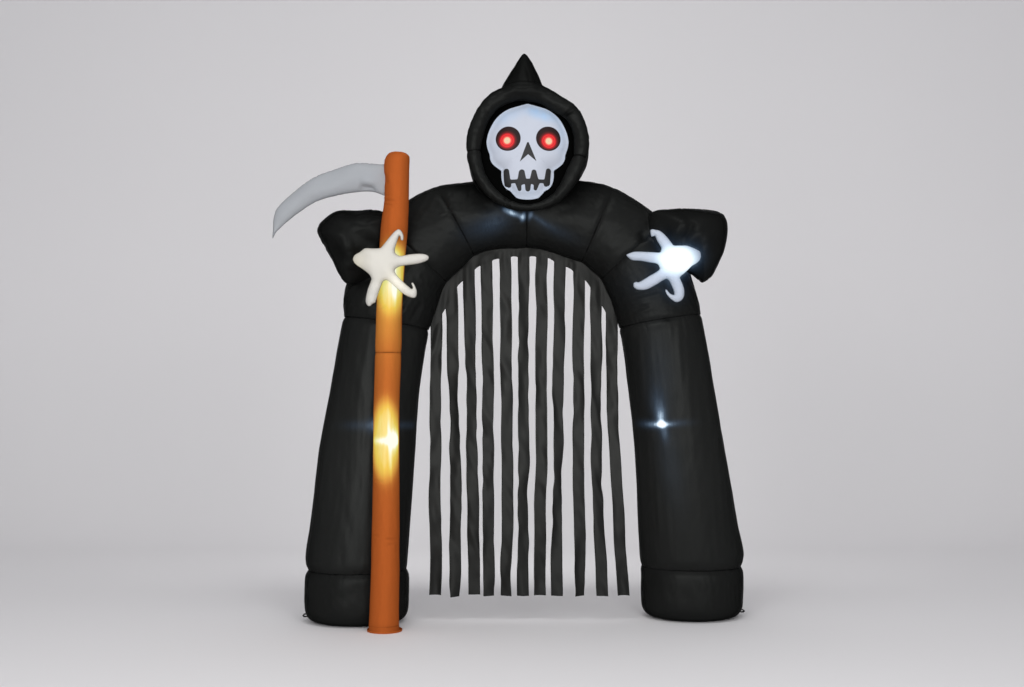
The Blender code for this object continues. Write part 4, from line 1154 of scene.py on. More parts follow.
def hand_halo(points):
    """Light of the right hand's lamp on the cloth beside it, which falls off with the distance from the
    hand's outline in the front view and with that from its palm."""
    outline = np.array(RIGHT_HAND_MIDDLE) + HALO_SHIFT + HAND_UNIT * np.array(RIGHT_HAND)
    away = np.maximum(polygon_distance(points[..., (0, 2)], outline), 0.0)
    from_palm = np.linalg.norm(points[..., (0, 2)] - np.array(HALO_MIDDLE), axis=-1)
    return HALO_STRENGTH * np.exp(-away / HALO_REACH - (from_palm / HALO_RADIUS) ** 2)


SLEEVES = {"left": (LEFT_SLEEVE, LEFT_SLEEVE_MIDDLE), "right": (RIGHT_SLEEVE, RIGHT_SLEEVE_MIDDLE)}
SLEEVE_FILLET = 0.035
# How far over a seam between two panels shows, as the cosine of the turn round the arch: -1 is at the
# doorway and 1 at the arch's back. For seams this far from the middle: distance, limit
SEAMS_SHOW = ((0.0, 1.5), (0.20, 1.5), (0.30, 0.0), (0.40, 0.0), (0.50, -0.75), (0.60, -0.75), (0.65, 1.5))


class ARCH_OT_panels(bpy.types.Operator):
    """The six panels of the arch"""

    bl_idname = "arch.panels"
    bl_label = "Arch panels"

    def execute(self, context):
        cloth = context.scene.arch_cloth
        material = black_nylon()
        for number, (name, start, end) in enumerate(ARCH_PANELS):
            seed = 300 + 40 * number
            bag = path_bag(ARCH, start, end, cloth.step, PANEL_COLUMNS)
            turn = turns(PANEL_COLUMNS)
            # the seams draw in less along the doorway and along the arch's back
            relief = sew_end(bag, True, seed) + sew_end(bag, False, seed + 4)
            relief = relief * (1 - 0.75 * smooth(np.abs(np.cos(turn)), 0.55, 0.95))
            relief += fill_out(bag, seed + 8, swell=1.2)
            relief += creases(bag, FRONT_CREASES)
            bag.push(relief)
            sleeves = [sleeve_front(bag.points, *sleeve) for sleeve in SLEEVES.values()]
            one_front(bag, np.minimum(*sleeves), SLEEVE_FILLET)
            off_middle, limit = np.array(SEAMS_SHOW).T
            limit = np.interp(np.abs(bag.points[..., 0].mean(axis=1)), off_middle, limit)[:, None]
            bag.seam = bag.seam + 0.01 * smooth(np.cos(turn)[None, :] - limit, 0.0, 0.3)
            # painted shade on the colour, darker from the shoulders outwards and beside the hood
            tone, halo = arch_painted_shade(bag.points), hand_halo(bag.points)
            finish_bag(name, bag, material, BODY_LAMPS, tone=tone, halo=halo)
        return {"FINISHED"}


def ring_sections(places):
    """Sections of the hood's ring, from the table of its angles."""
    angle, radius, band = loop_at(RING, places, (-360, 0, 0)).T
    over, up = np.cos(np.radians(angle)), np.sin(np.radians(angle))
    inner = radius - band
    inner_x, inner_z = HEAD_X + inner * over, HEAD_Z + inner * up
    outer_x, outer_z = HEAD_X + radius * over, HEAD_Z + radius * up
    half_deep = RING_DEPTH + RING_DEPTH_PER_BAND * band
    return np.column_stack((inner_x, inner_z, outer_x, outer_z, np.full(len(angle), RING_Y), half_deep))


def hood_fronts(points):
    """How far to the front the hood's ring and its peak reach, at each point's place in the front view.

    Inside its outline each is a half ellipse of its section. Past its outline it slopes to the back."""
    angle, radius, band = loop_at(RING, np.linspace(0, len(RING), 900), (-360, 0, 0)).T
    over, up = points[..., 0] - HEAD_X, points[..., 2] - HEAD_Z
    turn = (np.degrees(np.arctan2(up, over)) - angle[-1]) % 360 + angle[-1]
    radius, band = (np.interp(turn, angle[::-1], part[::-1]) for part in (radius, band))
    away = np.abs(np.hypot(over, up) - radius + band / 2) / (band / 2)
    round_section = np.sqrt(np.clip(1 - away**2, 0, 1))
    deep = RING_DEPTH + RING_DEPTH_PER_BAND * band
    ring = RING_Y - deep * round_section + 0.4 * band * np.maximum(away - 1, 0)
    rows = curve_at(PEAK, np.linspace(0, len(PEAK) - 1, 200))
    height = points[..., 2]
    inner, outer, mid_y, half_deep = (np.interp(height, rows[:, 1], rows[:, k]) for k in (0, 2, 4, 5))
    half = np.abs(inner - outer) / 2
    away = np.abs(points[..., 0] - (inner + outer) / 2) / half
    round_section = np.sqrt(np.clip(1 - away**2, 0, 1))
    peak = mid_y - half_deep * round_section + 0.8 * half * np.maximum(away - 1, 0)
    return ring, peak + 1.5 * np.maximum(rows[0, 1] - height, 0)


def hood_painted_shade(points):
    """Painted shade on the hood: a factor on its colour, lower towards its peak."""
    return 0.72 - 0.36 * smooth(points[..., 2], 2.46, 2.60)


class ARCH_OT_hood(bpy.types.Operator):
    """The hood: its ring in two halves, its back and its peak"""

    bl_idname = "arch.hood"
    bl_label = "Hood"

    def execute(self, context):
        material = black_nylon()
        for name, start, end, seed in (
            ("hood_ring_upper", 0, RIGHT_RING_SEAM, 600),
            ("hood_ring_lower", RIGHT_RING_SEAM, len(RING), 640),
        ):
            places = even_places(ring_sections, start, end, RING_STEP)
            bag = Bag(ellipse_rings(ring_sections(places), RING_COLUMNS))
            relief = sew_end(bag, True, seed, depth=0.5, reach=0.35, pinch=0.6)
            relief += sew_end(bag, False, seed + 4, depth=0.5, reach=0.35, pinch=0.6)
            relief += fill_out(bag, seed + 8, swell=0.7, crumple=1.4)
            middle = bag.points.mean(axis=1, keepdims=True)
            angle = np.degrees(np.arctan2(middle[..., 2] - HEAD_Z, middle[..., 0] - HEAD_X))
            for gather_deg, depth, half_width in RING_GATHERS:
                off = (angle - gather_deg + 180) % 360 - 180
                away = np.abs(np.radians(off) * RING_MIDDLE_RADIUS) / half_width
                gather = depth * (np.exp(-(away**2)) - 0.25 * np.exp(-((away - 2.2) ** 2)))
                relief = relief - gather * bag.in_front()
            bag.push(relief)
            one_front(bag, hood_fronts(bag.points)[1])
            # painted shade on the colour, darker towards the peak
            finish_bag(name, bag, material, tone=hood_painted_shade(bag.points))
        self.back(material)
        self.peak(material)
        return {"FINISHED"}

    def back(self, material):
        """A dome: the ring's outline times a share that falls to nothing behind, with a middle seam."""
        cloth = bpy.context.scene.arch_cloth
        angle, radius, _ = closed_loop(RING, HOOD_BACK_COLUMNS, (-360, 0, 0)).T
        rows = curve_at(HOOD_BACK, np.linspace(0, len(HOOD_BACK) - 1, HOOD_BACK_ROWS))
        over, up = np.cos(np.radians(angle)) * radius, np.sin(np.radians(angle)) * radius
        rings = np.stack(
            (
                HEAD_X + over[None, :] * rows[:, 1:],
                np.broadcast_to(rows[:, :1], (len(rows), len(over))),
                HEAD_Z + up[None, :] * rows[:, 1:],
            ),
            axis=-1,
        )
        bag = Bag(rings)
        from_seam = np.where(bag.points[..., 1] > -0.17, np.abs(bag.points[..., 0] - HEAD_X), 1.0)
        seam_points = bag.points * np.array((0.0, 1.0, 1.0))
        relief = rolled_edge(from_seam, cloth.seam_pinch * 0.7, cloth.seam_roll)
        relief += seam_gathers(bag, seam_points, from_seam, 700)
        from_ring = np.abs(bag.points[..., 1] - BACK_GATHERS_Y)
        ring = bag.ring(BACK_GATHERS_ROW)
        relief += gathers(bag.points, ring, from_ring, 710, size=0.05, depth=0.004, reach=0.06)
        relief += fill_out(bag, 720, swell=1.5)
        bag.push(relief * smooth(bag.from_end, 0.0, 0.03))
        bag.seam = from_seam
        # painted shade: the back is almost black near the ring, in the recess between the ring and the
        # skull
        tone = 0.08 + 0.64 * smooth(bag.from_start, 0.03, 0.08)
        finish_bag("hood_back", bag, material, tone=tone)

    def peak(self, material):
        bag = path_bag(PEAK, 0, len(PEAK) - 1, PEAK_STEP, PEAK_COLUMNS)
        away = bag.from_end
        ring = bag.ring(PEAK_GATHERS_ROW)
        relief = gathers(bag.points, ring, bag.from_start, 740, size=0.05, depth=0.004, reach=0.10)
        relief += fill_out(bag, 750, swell=1.2, stretch=(1.0, 1.0, 0.4)) * smooth(away, 0.01, 0.06)
        bag.push(relief * smooth(away, 0.004, 0.03))
        one_front(bag, hood_fronts(bag.points)[0])
        # painted shade on the colour, darker towards the peak
        finish_bag("hood_peak", bag, material, tone=hood_painted_shade(bag.points))


# A little less than a quarter turn, as the first and the last ring must not close to a point
PILLOW_TURN = 1.545


def pillow_bag(corners, grid, middle, mid_y, front, back, edge=1.0):
    """A bag of two panels sewn along an outline. Rows run from the front's middle over the seam to the
    back's middle: the outline times the cosine of an angle, off the seam's plane by its sine to a power.
    Gives the bag, each point's distance from the seam and the seam's point that it belongs to."""
    columns, rows_front, rows_back = grid
    outline = closed_loop(corners, columns)
    middle = np.array(middle)
    angles = np.concatenate(
        (np.linspace(-PILLOW_TURN, 0, rows_front, endpoint=False), np.linspace(0, PILLOW_TURN, rows_back))
    )
    flat = outline[None, :, :] - middle
    flat = flat * np.cos(angles)[:, None, None] + middle
    reach = np.where(angles < 0, front, back) * np.abs(np.sin(angles)) ** edge * np.sign(angles)
    deep = np.broadcast_to((mid_y + reach)[:, None], flat.shape[:2])
    bag = Bag(np.stack((flat[..., 0], deep, flat[..., 1]), axis=-1))
    return bag, np.abs(bag.from_start - bag.from_start[rows_front]), bag.ring(rows_front)


def polygon_distance(flat, corners):
    """Signed distance from points to a polygon's outline, below zero inside: the least distance to any
    side, with the sign from counting how many sides lie to the right of the point."""
    corners = np.asarray(corners, float)
    nearest = np.full(flat.shape[:-1], 1e9)
    inside = np.zeros(flat.shape[:-1], bool)
    for first, second in zip(corners, np.roll(corners, -1, axis=0)):
        side = second - first
        share = np.clip(((flat - first) @ side) / (side @ side), 0, 1)
        nearest = np.minimum(nearest, np.linalg.norm(flat - first - share[..., None] * side, axis=-1))
        spans = (first[1] > flat[..., 1]) != (second[1] > flat[..., 1])
        if abs(side[1]) > 1e-12:
            crossing = first[0] + (flat[..., 1] - first[1]) / side[1] * side[0]
            inside ^= spans & (flat[..., 0] < crossing)
    return np.where(inside, -nearest, nearest)


def stroke_distance(flat, start, end, start_radius, end_radius):
    """Signed distance to a straight brush stroke with round ends, whose radius changes along it."""
    start, line = np.asarray(start, float), np.asarray(end, float) - np.asarray(start, float)
    share = np.clip(((flat - start) @ line) / (line @ line), 0, 1)
    away = np.linalg.norm(flat - start - share[..., None] * line, axis=-1)
    return away - (start_radius + (end_radius - start_radius) * share)


# The skull's print, drawn on a grid of PRINT_UNIT from the middle of the mouth: over, up
PRINT_UNIT = 0.00472
PRINT_MIDDLE = (0.0040, 2.1125)
EYES = ((-19.8, 42.2), (20.6, 42.2))
EYE_RADIUS = 12.5
EYE_LAMPS = ((-20.8, 40.2), (21.1, 39.7))
NOSE = ((-0.7, 38.1), (0.7, 38.1), (8.5, 18.8), (0.2, 25.9), (-8.3, 18.6))
# start_over, start_up, end_over, end_up, start_radius, end_radius
MOUTH = (
    (-17.0, -0.4, 17.0, -0.4, 1.8, 1.8),
    (-21.6, 9.6, -20.4, -2.0, 2.8, 3.4),
    (-19.6, -2.2, -18.7, -4.2, 2.4, 1.9),
    (20.9, 10.0, 19.4, -1.5, 2.7, 3.2),
    (18.8, -2.0, 18.0, -3.4, 2.4, 1.8),
    (-6.2, 7.8, -6.0, 0.5, 3.1, 4.5),
    (6.0, 8.2, 6.2, 0.5, 2.5, 4.5),
    (-9.4, -2.6, -8.3, -8.0, 2.9, 1.9),
    (0.0, -1.6, 0.0, -7.9, 3.3, 2.6),
    (8.7, -2.6, 7.7, -7.6, 2.9, 1.9),
)
MOUTH_FILLET = 1.3
# Painted blue shade on the bone: where it is bluer, given as in BODY_LAMPS
SKULL_SHADES = (
    (0.080, 2.440, 0.085, 0.038, -14, 1.5, 1.10),
    (-0.100, 2.425, 0.080, 0.040, 24, 1.2, 0.50),
    (-0.150, 2.290, 0.045, 0.085, 0, 1.2, 0.10),
    (0.165, 2.330, 0.030, 0.090, 0, 1.2, 0.45),
    (0.000, 2.070, 0.120, 0.040, 0, 1.2, 0.20),
)


def joined(first, second, fillet):
    """Signed distance to two shapes together, with their corner filled: the lesser distance, less
    (fillet - difference)^2 / (4 fillet) where the two differ by less than the fillet."""
    near = np.maximum(fillet - np.abs(first - second), 0.0)
    return np.minimum(first, second) - near**2 / (4 * fillet)


class ARCH_OT_skull(bpy.types.Operator):
    """The skull: two panels sewn along its outline, with the face printed on the front"""

    bl_idname = "arch.skull"
    bl_label = "Skull"

    def execute(self, context):
        half = np.array(SKULL_HALF)
        other = half[-2:0:-1] * np.array((-1, 1))
        corners = np.vstack((half, other)) + np.array((HEAD_X, 0.0))
        bag, from_seam, seam_points = pillow_bag(
            corners, SKULL_GRID, SKULL_MIDDLE, SKULL_MID_Y, SKULL_FRONT, SKULL_BACK, edge=1.15
        )
        flat = bag.points[..., (0, 2)].copy()
        relief = gathers(bag.points, seam_points, from_seam, 800, size=0.030, depth=0.0016, reach=0.018)
        relief += 0.0016 * waves(bag.points, 0.11, 810) * smooth(from_seam, 0.0, 0.05)
        # a slight ridge down the forehead, where the cloth is pulled up to its point
        forehead = smooth(flat[..., 1], 2.36, 2.47)
        relief += 0.0025 * np.exp(-(((flat[..., 0] - HEAD_X) / 0.012) ** 2)) * forehead
        bag.push(relief * smooth(from_seam, 0.0, 0.004))
        drawn = (flat - PRINT_MIDDLE) / PRINT_UNIT
        mouth = np.full(drawn.shape[:-1], 100.0)
        for *ends, start_radius, end_radius in MOUTH:
            stroke = stroke_distance(drawn, ends[:2], ends[2:], start_radius, end_radius)
            mouth = joined(mouth, stroke, MOUTH_FILLET)
        printed = np.minimum(mouth, polygon_distance(drawn, NOSE)) * PRINT_UNIT
        eye, lamp = (
            np.min([np.linalg.norm(drawn - place, axis=-1) for place in places], axis=0)
            for places in (EYES, EYE_LAMPS)
        )
        at_back = bag.points[..., 1] > SKULL_MID_Y
        shown = {
            "print": np.where(at_back, 1.0, printed),
            "eye": np.where(at_back, 1.0, (eye - EYE_RADIUS) * PRINT_UNIT),
            "eye_lamp": np.where(at_back, 100.0, lamp),
            "rim": from_seam,
            "shade": lamp_light(bag.points, SKULL_SHADES),
        }
        bag.seam = np.full(bag.seam.shape, 1.0)
        mesh = bag_mesh("skull", bag, shown)
        new_piece("skull", mesh, skull_print(), ["skull"])
        return {"FINISHED"}


# Folds of the sleeves in the front view, as in FRONT_CREASES.
LEFT_SLEEVE_CREASES = (
    (-0.860, 1.890, -0.690, 1.790, 0.040, 0.014),
    (-0.990, 1.850, -0.900, 1.790, 0.024, 0.005),
    (-0.890, 1.790, -0.840, 1.700, 0.022, 0.007),
    (-0.870, 1.690, -0.740, 1.660, 0.024, 0.008),
    (-0.800, 1.950, -0.740, 1.900, 0.024, 0.005),
)
RIGHT_SLEEVE_CREASES = (
    (0.715, 1.806, 0.795, 1.915, 0.022, 0.014),
    (0.850, 1.700, 0.915, 1.840, 0.026, 0.008),
    (0.800, 1.690, 0.850, 1.730, 0.018, 0.006),
    (0.640, 1.810, 0.660, 1.900, 0.022, 0.005),
)


class ARCH_OT_sleeves(bpy.types.Operator):
    """The two sleeves, drawn in where a hand is sewn on"""

    bl_idname = "arch.sleeves"
    bl_label = "Sleeves"

    def execute(self, context):
        material = black_nylon()
        for side, corners, middle, wrist, table, seed in (
            ("left", LEFT_SLEEVE, LEFT_SLEEVE_MIDDLE, LEFT_WRIST, LEFT_SLEEVE_CREASES, 900),
            ("right", RIGHT_SLEEVE, RIGHT_SLEEVE_MIDDLE, RIGHT_WRIST, RIGHT_SLEEVE_CREASES, 950),
        ):
            bag, from_seam, seam_points = pillow_bag(
                corners, SLEEVE_GRID, middle, SLEEVE_MID_Y, SLEEVE_FRONT, SLEEVE_BACK
            )
            relief = gathers(bag.points, seam_points, from_seam, seed, size=0.05, depth=0.004, reach=0.05)
            # the cloth is drawn in round the wrist, with folds that run out from it
            off = bag.points - np.array(wrist)
            away = np.linalg.norm(off, axis=-1)
            turn = np.arctan2(off[..., 2], off[..., 0])
            rays = np.exp(-((np.sin(3.5 * turn + 1.3 * np.sin(turn + seed)) / 0.7) ** 2))
            relief -= 0.020 * np.exp(-((away / 0.055) ** 2))
            relief -= 0.003 * rays * smooth(away, 0.02, 0.05) * np.exp(-((away / 0.09) ** 2))
            relief += creases(bag, table)
            relief += 0.003 * waves(bag.points, 0.16, seed + 9) * smooth(from_seam, 0.0, 0.06)
            bag.push(relief)
            one_front(bag, arch_front(bag.points), SLEEVE_FILLET)
            bag.seam = from_seam
            # painted shade on the colour, darker from the shoulders outwards and beside the hood
            tone, halo = arch_painted_shade(bag.points), hand_halo(bag.points)
            finish_bag(
                f"{side}_sleeve", bag, material, BODY_LAMPS, tone=tone, halo=halo
            )
        return {"FINISHED"}


def blurred(grid, rounds):
    """A grid averaged with its four neighbours, `rounds` times."""
    for _ in range(rounds):
        grid = (
            2 * grid
            + np.roll(grid, 1, axis=0)
            + np.roll(grid, -1, axis=0)
            + np.roll(grid, 1, axis=1)
            + np.roll(grid, -1, axis=1)
        ) / 6
    return grid


def sample(grid, low, cell, flat):
    """Values of a grid between its nodes, by bilinear interpolation."""
    place = (flat - low) / cell
    base = np.floor(place).astype(int)
    over, up = (place - base).T
    column, row = base.T
    left = grid[row, column] * (1 - up) + grid[row + 1, column] * up
    right = grid[row, column + 1] * (1 - up) + grid[row + 1, column + 1] * up
    return left * (1 - over) + right * over


def blown_height(outline, flat, distance, rounds=3000):
    """Half the thickness of two panels that are sewn along an outline and blown up.

    It is the root of twice u, where u is zero on the outline and its Laplacian is -1 inside, as for a
    skin under pressure: a long finger comes out round. u is found on a grid by taking each node as the
    mean of its neighbours, over and over. Near the outline it is the distance times the slope of u.
    """
    cell = HEIGHT_CELL
    low = outline.min(axis=0) - 6 * cell
    count = np.ceil((outline.max(axis=0) + 6 * cell - low) / cell).astype(int) + 1
    over, up = np.meshgrid(low[0] + cell * np.arange(count[0]), low[1] + cell * np.arange(count[1]))
    depth = -polygon_distance(np.stack((over, up), axis=-1), outline[::2])
    inside = depth > 0
    u = np.zeros(depth.shape)
    for _ in range(rounds):
        mean = (np.roll(u, 1, 0) + np.roll(u, -1, 0) + np.roll(u, 1, 1) + np.roll(u, -1, 1)) / 4
        u = np.where(inside, mean + cell * cell / 4, 0.0)
    sure = depth > 1.2 * cell
    slope = blurred(np.where(sure, u / np.maximum(depth, cell), 0.0), 3) / np.maximum(
        blurred(sure.astype(float), 3), 1e-3
    )
    near = sample(slope, low, cell, flat) * distance
    blend = smooth(distance, 1.5 * cell, 4 * cell)
    return np.sqrt(2 * np.maximum(near * (1 - blend) + sample(u, low, cell, flat) * blend, 0.0))


def even_outline(corners, step):
    """Points about `step` apart on the closed curve through the corners."""
    fine = loop_at(corners, np.linspace(0, len(corners), 24 * len(corners) + 1))
    length = np.concatenate(((0.0,), np.cumsum(np.linalg.norm(np.diff(fine, axis=0), axis=1))))
    where = np.linspace(0, length[-1], int(length[-1] / step), endpoint=False)
    return np.column_stack([np.interp(where, length, fine[:, k]) for k in (0, 1)])


def sewn_panels(outline, step):
    """Triangles that fill an outline: its own points, and inside it rows of points, each shifted by half
    a step from the last. Gives the points, the triangles and how many points lie on the outline."""
    low, high = outline.min(axis=0), outline.max(axis=0)
    rise = step * math.sqrt(3) / 2
    rows = np.arange(int((high[1] - low[1]) / rise))
    over, row = np.meshgrid(np.arange(int((high[0] - low[0]) / step) + 1), rows)
    flat = low + np.stack((step * (over + 0.5 * (row % 2)), rise * row), axis=-1).reshape(-1, 2)
    flat = flat[polygon_distance(flat, outline) < -0.7 * step]
    both = np.vstack((outline, flat))
    ends = np.arange(len(outline))
    sides = np.column_stack((ends, np.roll(ends, -1))).tolist()
    places = [Vector(place) for place in both.tolist()]
    points, _, faces, _, _, _ = delaunay_2d_cdt(places, sides, [], 1, 1e-9)
    return np.array([tuple(place) for place in points]), np.array(faces), len(outline)


class ARCH_OT_hands(bpy.types.Operator):
    """The two hands: two panels of white nylon each, sewn round the edge and blown up"""

    bl_idname = "arch.hands"
    bl_label = "Hands"

    def execute(self, context):
        warm = hand_nylon("left_hand_nylon", "warm_hand", (0.22, 0.20, 0.13), (0.44, 0.42, 0.30))
        # the right hand's colour is the same white nylon tinted blue, as painted light of its cool lamp
        cool = hand_nylon("right_hand_nylon", "cool_hand", (0.14, 0.20, 0.27), (0.42, 0.54, 0.60))
        for side, drawn, middle, hand_y, lamps, material, seed in (
            ("left", LEFT_HAND, LEFT_HAND_MIDDLE, LEFT_HAND_Y, LEFT_HAND_LAMPS, warm, 1000),
            ("right", RIGHT_HAND, RIGHT_HAND_MIDDLE, RIGHT_HAND_Y, RIGHT_HAND_LAMPS, cool, 1050),
        ):
            outline = even_outline(np.array(middle) + HAND_UNIT * np.array(drawn), HAND_OUTLINE_STEP)
            flat, faces, edge = sewn_panels(outline, HAND_STEP)
            distance = np.maximum(-polygon_distance(flat, outline), 0.0)
            distance[:edge] = 0.0
            height = blown_height(outline, flat, distance) * HAND_FULLNESS
            height = height * (1 - HAND_PINCH * np.exp(-((distance / HAND_PINCH_WIDE) ** 2)))
            place = np.stack((flat[:, 0], 0 * height, flat[:, 1]), axis=-1)
            nearest = np.argmin(np.linalg.norm(flat[:, None, :] - outline[None, :, :], axis=-1), axis=1)
            seam_points = place[:edge][nearest]
            height = height + smooth(distance, 0.0, 0.006) * (
                gathers(place, seam_points, distance, seed, size=0.024, depth=0.0018, reach=0.014)
                + 0.0012 * waves(place, 0.06, seed + 5)
            )
            bend = np.clip((np.abs(flat[:, 0]) - WRIST_BENDS) / (WRIST_OUT - WRIST_BENDS), 0.0, 1.3)
            back = WRIST_BACK * bend**2
            # what lies further back is drawn larger, so that the outline stays as it shows from the front
            eye = np.array((bpy.context.scene.arch_stage.camera_x, bpy.context.scene.arch_stage.camera_z))
            reach = hand_y - bpy.context.scene.arch_stage.camera_y
            flat = eye + (flat - eye) * (1 + back / reach)[:, None]
            front = np.column_stack((flat[:, 0], hand_y + back - height, flat[:, 1]))
            behind = np.column_stack((flat[:, 0], hand_y + back + height, flat[:, 1]))[edge:]
            points = np.vstack((front, behind))
            other = np.where(faces < edge, faces, faces + len(behind))[:, ::-1]
            triangles = np.vstack((faces, other))
            uv = np.vstack((flat, flat[edge:]))[triangles.reshape(-1)]
            mesh = new_mesh(f"{side}_hand", points, np.empty((0, 4), int), triangles, uv)
            distances = np.concatenate((distance, distance[edge:]))
            set_attribute(mesh, "seam", distances)
            set_attribute(mesh, "glow", lamp_light(points, lamps))
            new_piece(f"{side}_hand", mesh, material, [f"{side}_hand"])
        return {"FINISHED"}


# How high the pole's hem is stitched
HEM_LINE_Z = 0.028
# Creases of the pole and the blade, as in FRONT_CREASES
BLADE_CREASES = ((-0.800, 2.076, -0.710, 2.060, 0.016, 0.013),)
POLE_CREASES = (
    (-0.640, 2.238, -0.590, 2.226, 0.004, 0.0030),
    (-0.610, 2.243, -0.570, 2.222, 0.004, 0.0030),
    (-0.676, 2.150, -0.664, 2.080, 0.012, 0.0040),
    (-0.700, 2.020, -0.590, 1.996, 0.006, 0.0035),
    (-0.690, 1.998, -0.610, 1.978, 0.005, 0.0025),
    (-0.700, 2.046, -0.640, 2.030, 0.005, 0.0020),
    (-0.706, 1.496, -0.655, 1.516, 0.004, 0.0040),
    (-0.708, 1.530, -0.680, 1.560, 0.004, 0.0025),
    (-0.722, 0.700, -0.660, 0.697, 0.005, 0.0030),
    (-0.660, 0.430, -0.600, 0.424, 0.006, 0.0030),
    (-0.730, 0.442, -0.680, 0.447, 0.006, 0.0020),
    (-0.650, 0.400, -0.604, 0.407, 0.005, 0.0015),
    (-0.720, 1.120, -0.690, 1.124, 0.006, 0.0015),
)


class ARCH_OT_scythe(bpy.types.Operator):
    """The scythe: a pole of two tubes with a disc on top, and its blade"""

    bl_idname = "arch.scythe"
    bl_label = "Scythe"

    def execute(self, context):
        material = pole_nylon()
        for name, rows, sewn, seed in (
            ("scythe_pole_lower", POLE_LOWER, (False, True), 1100),
            ("scythe_pole_upper", POLE_UPPER, (True, False), 1120),
            ("scythe_pole_cap", POLE_CAP, (False, False), 1140),
        ):
            bag = path_bag(rows, 0, len(rows) - 1, POLE_STEP, POLE_COLUMNS)
            relief = np.zeros(bag.seam.shape)
            for at_start, is_sewn in zip((True, False), sewn):
                if is_sewn:
                    relief += sew_end(bag, at_start, seed + at_start, depth=0.35, reach=0.5, pinch=0.22)
            above_hem = smooth(bag.points[..., 2], 0.03, 0.12)
            relief += fill_out(bag, seed + 8, swell=0.7, stretch=(1.0, 1.0, 0.25), crumple=0.6) * above_hem
            relief += creases(bag, POLE_CREASES)
            bag.push(relief)
            if name == "scythe_pole_lower":
                bag.seam = np.minimum(bag.seam, np.abs(bag.points[..., 2] - HEM_LINE_Z))
            finish_bag(name, bag, material, POLE_LAMPS)
        self.blade()
        return {"FINISHED"}

    def blade(self):
        """Two panels sewn along the blade's back and edge, where a narrow ridge of cloth stands up."""
        bag = path_bag(BLADE, 0, len(BLADE) - 1, BLADE_STEP, BLADE_COLUMNS)
        turn = turns(BLADE_COLUMNS)
        height = bag.girth[:, None] / (2 * math.pi)
        from_seam = np.abs(np.sin(turn))[None, :] * height
        outer, inner = (bag.points[:, column : column + 1] for column in (0, BLADE_COLUMNS // 2))
        seam_points = np.where((np.cos(turn) > 0)[None, :, None], outer, inner)
        relief = gathers(bag.points, seam_points, from_seam, 1200, size=0.05, depth=0.0022, reach=0.03)
        relief += 0.0016 * np.exp(-((from_seam / 0.003) ** 2))
        relief += 0.0020 * waves(bag.points, 0.14, 1210)
        relief += creases(bag, BLADE_CREASES)
        bag.push(relief * smooth(bag.from_end, 0.0, 0.03))
        bag.seam = from_seam
        finish_bag("scythe_blade", bag, blade_nylon())


def opening(x):
    """Height of the arch's inner edge above the floor, and its slope there."""
    inner = curve_at(ARCH, np.linspace(0, len(ARCH) - 1, 600))[:, :2]
    slope = np.gradient(inner[:, 1], inner[:, 0])
    return np.interp(x, inner[:, 0], inner[:, 1]), np.interp(x, inner[:, 0], slope)


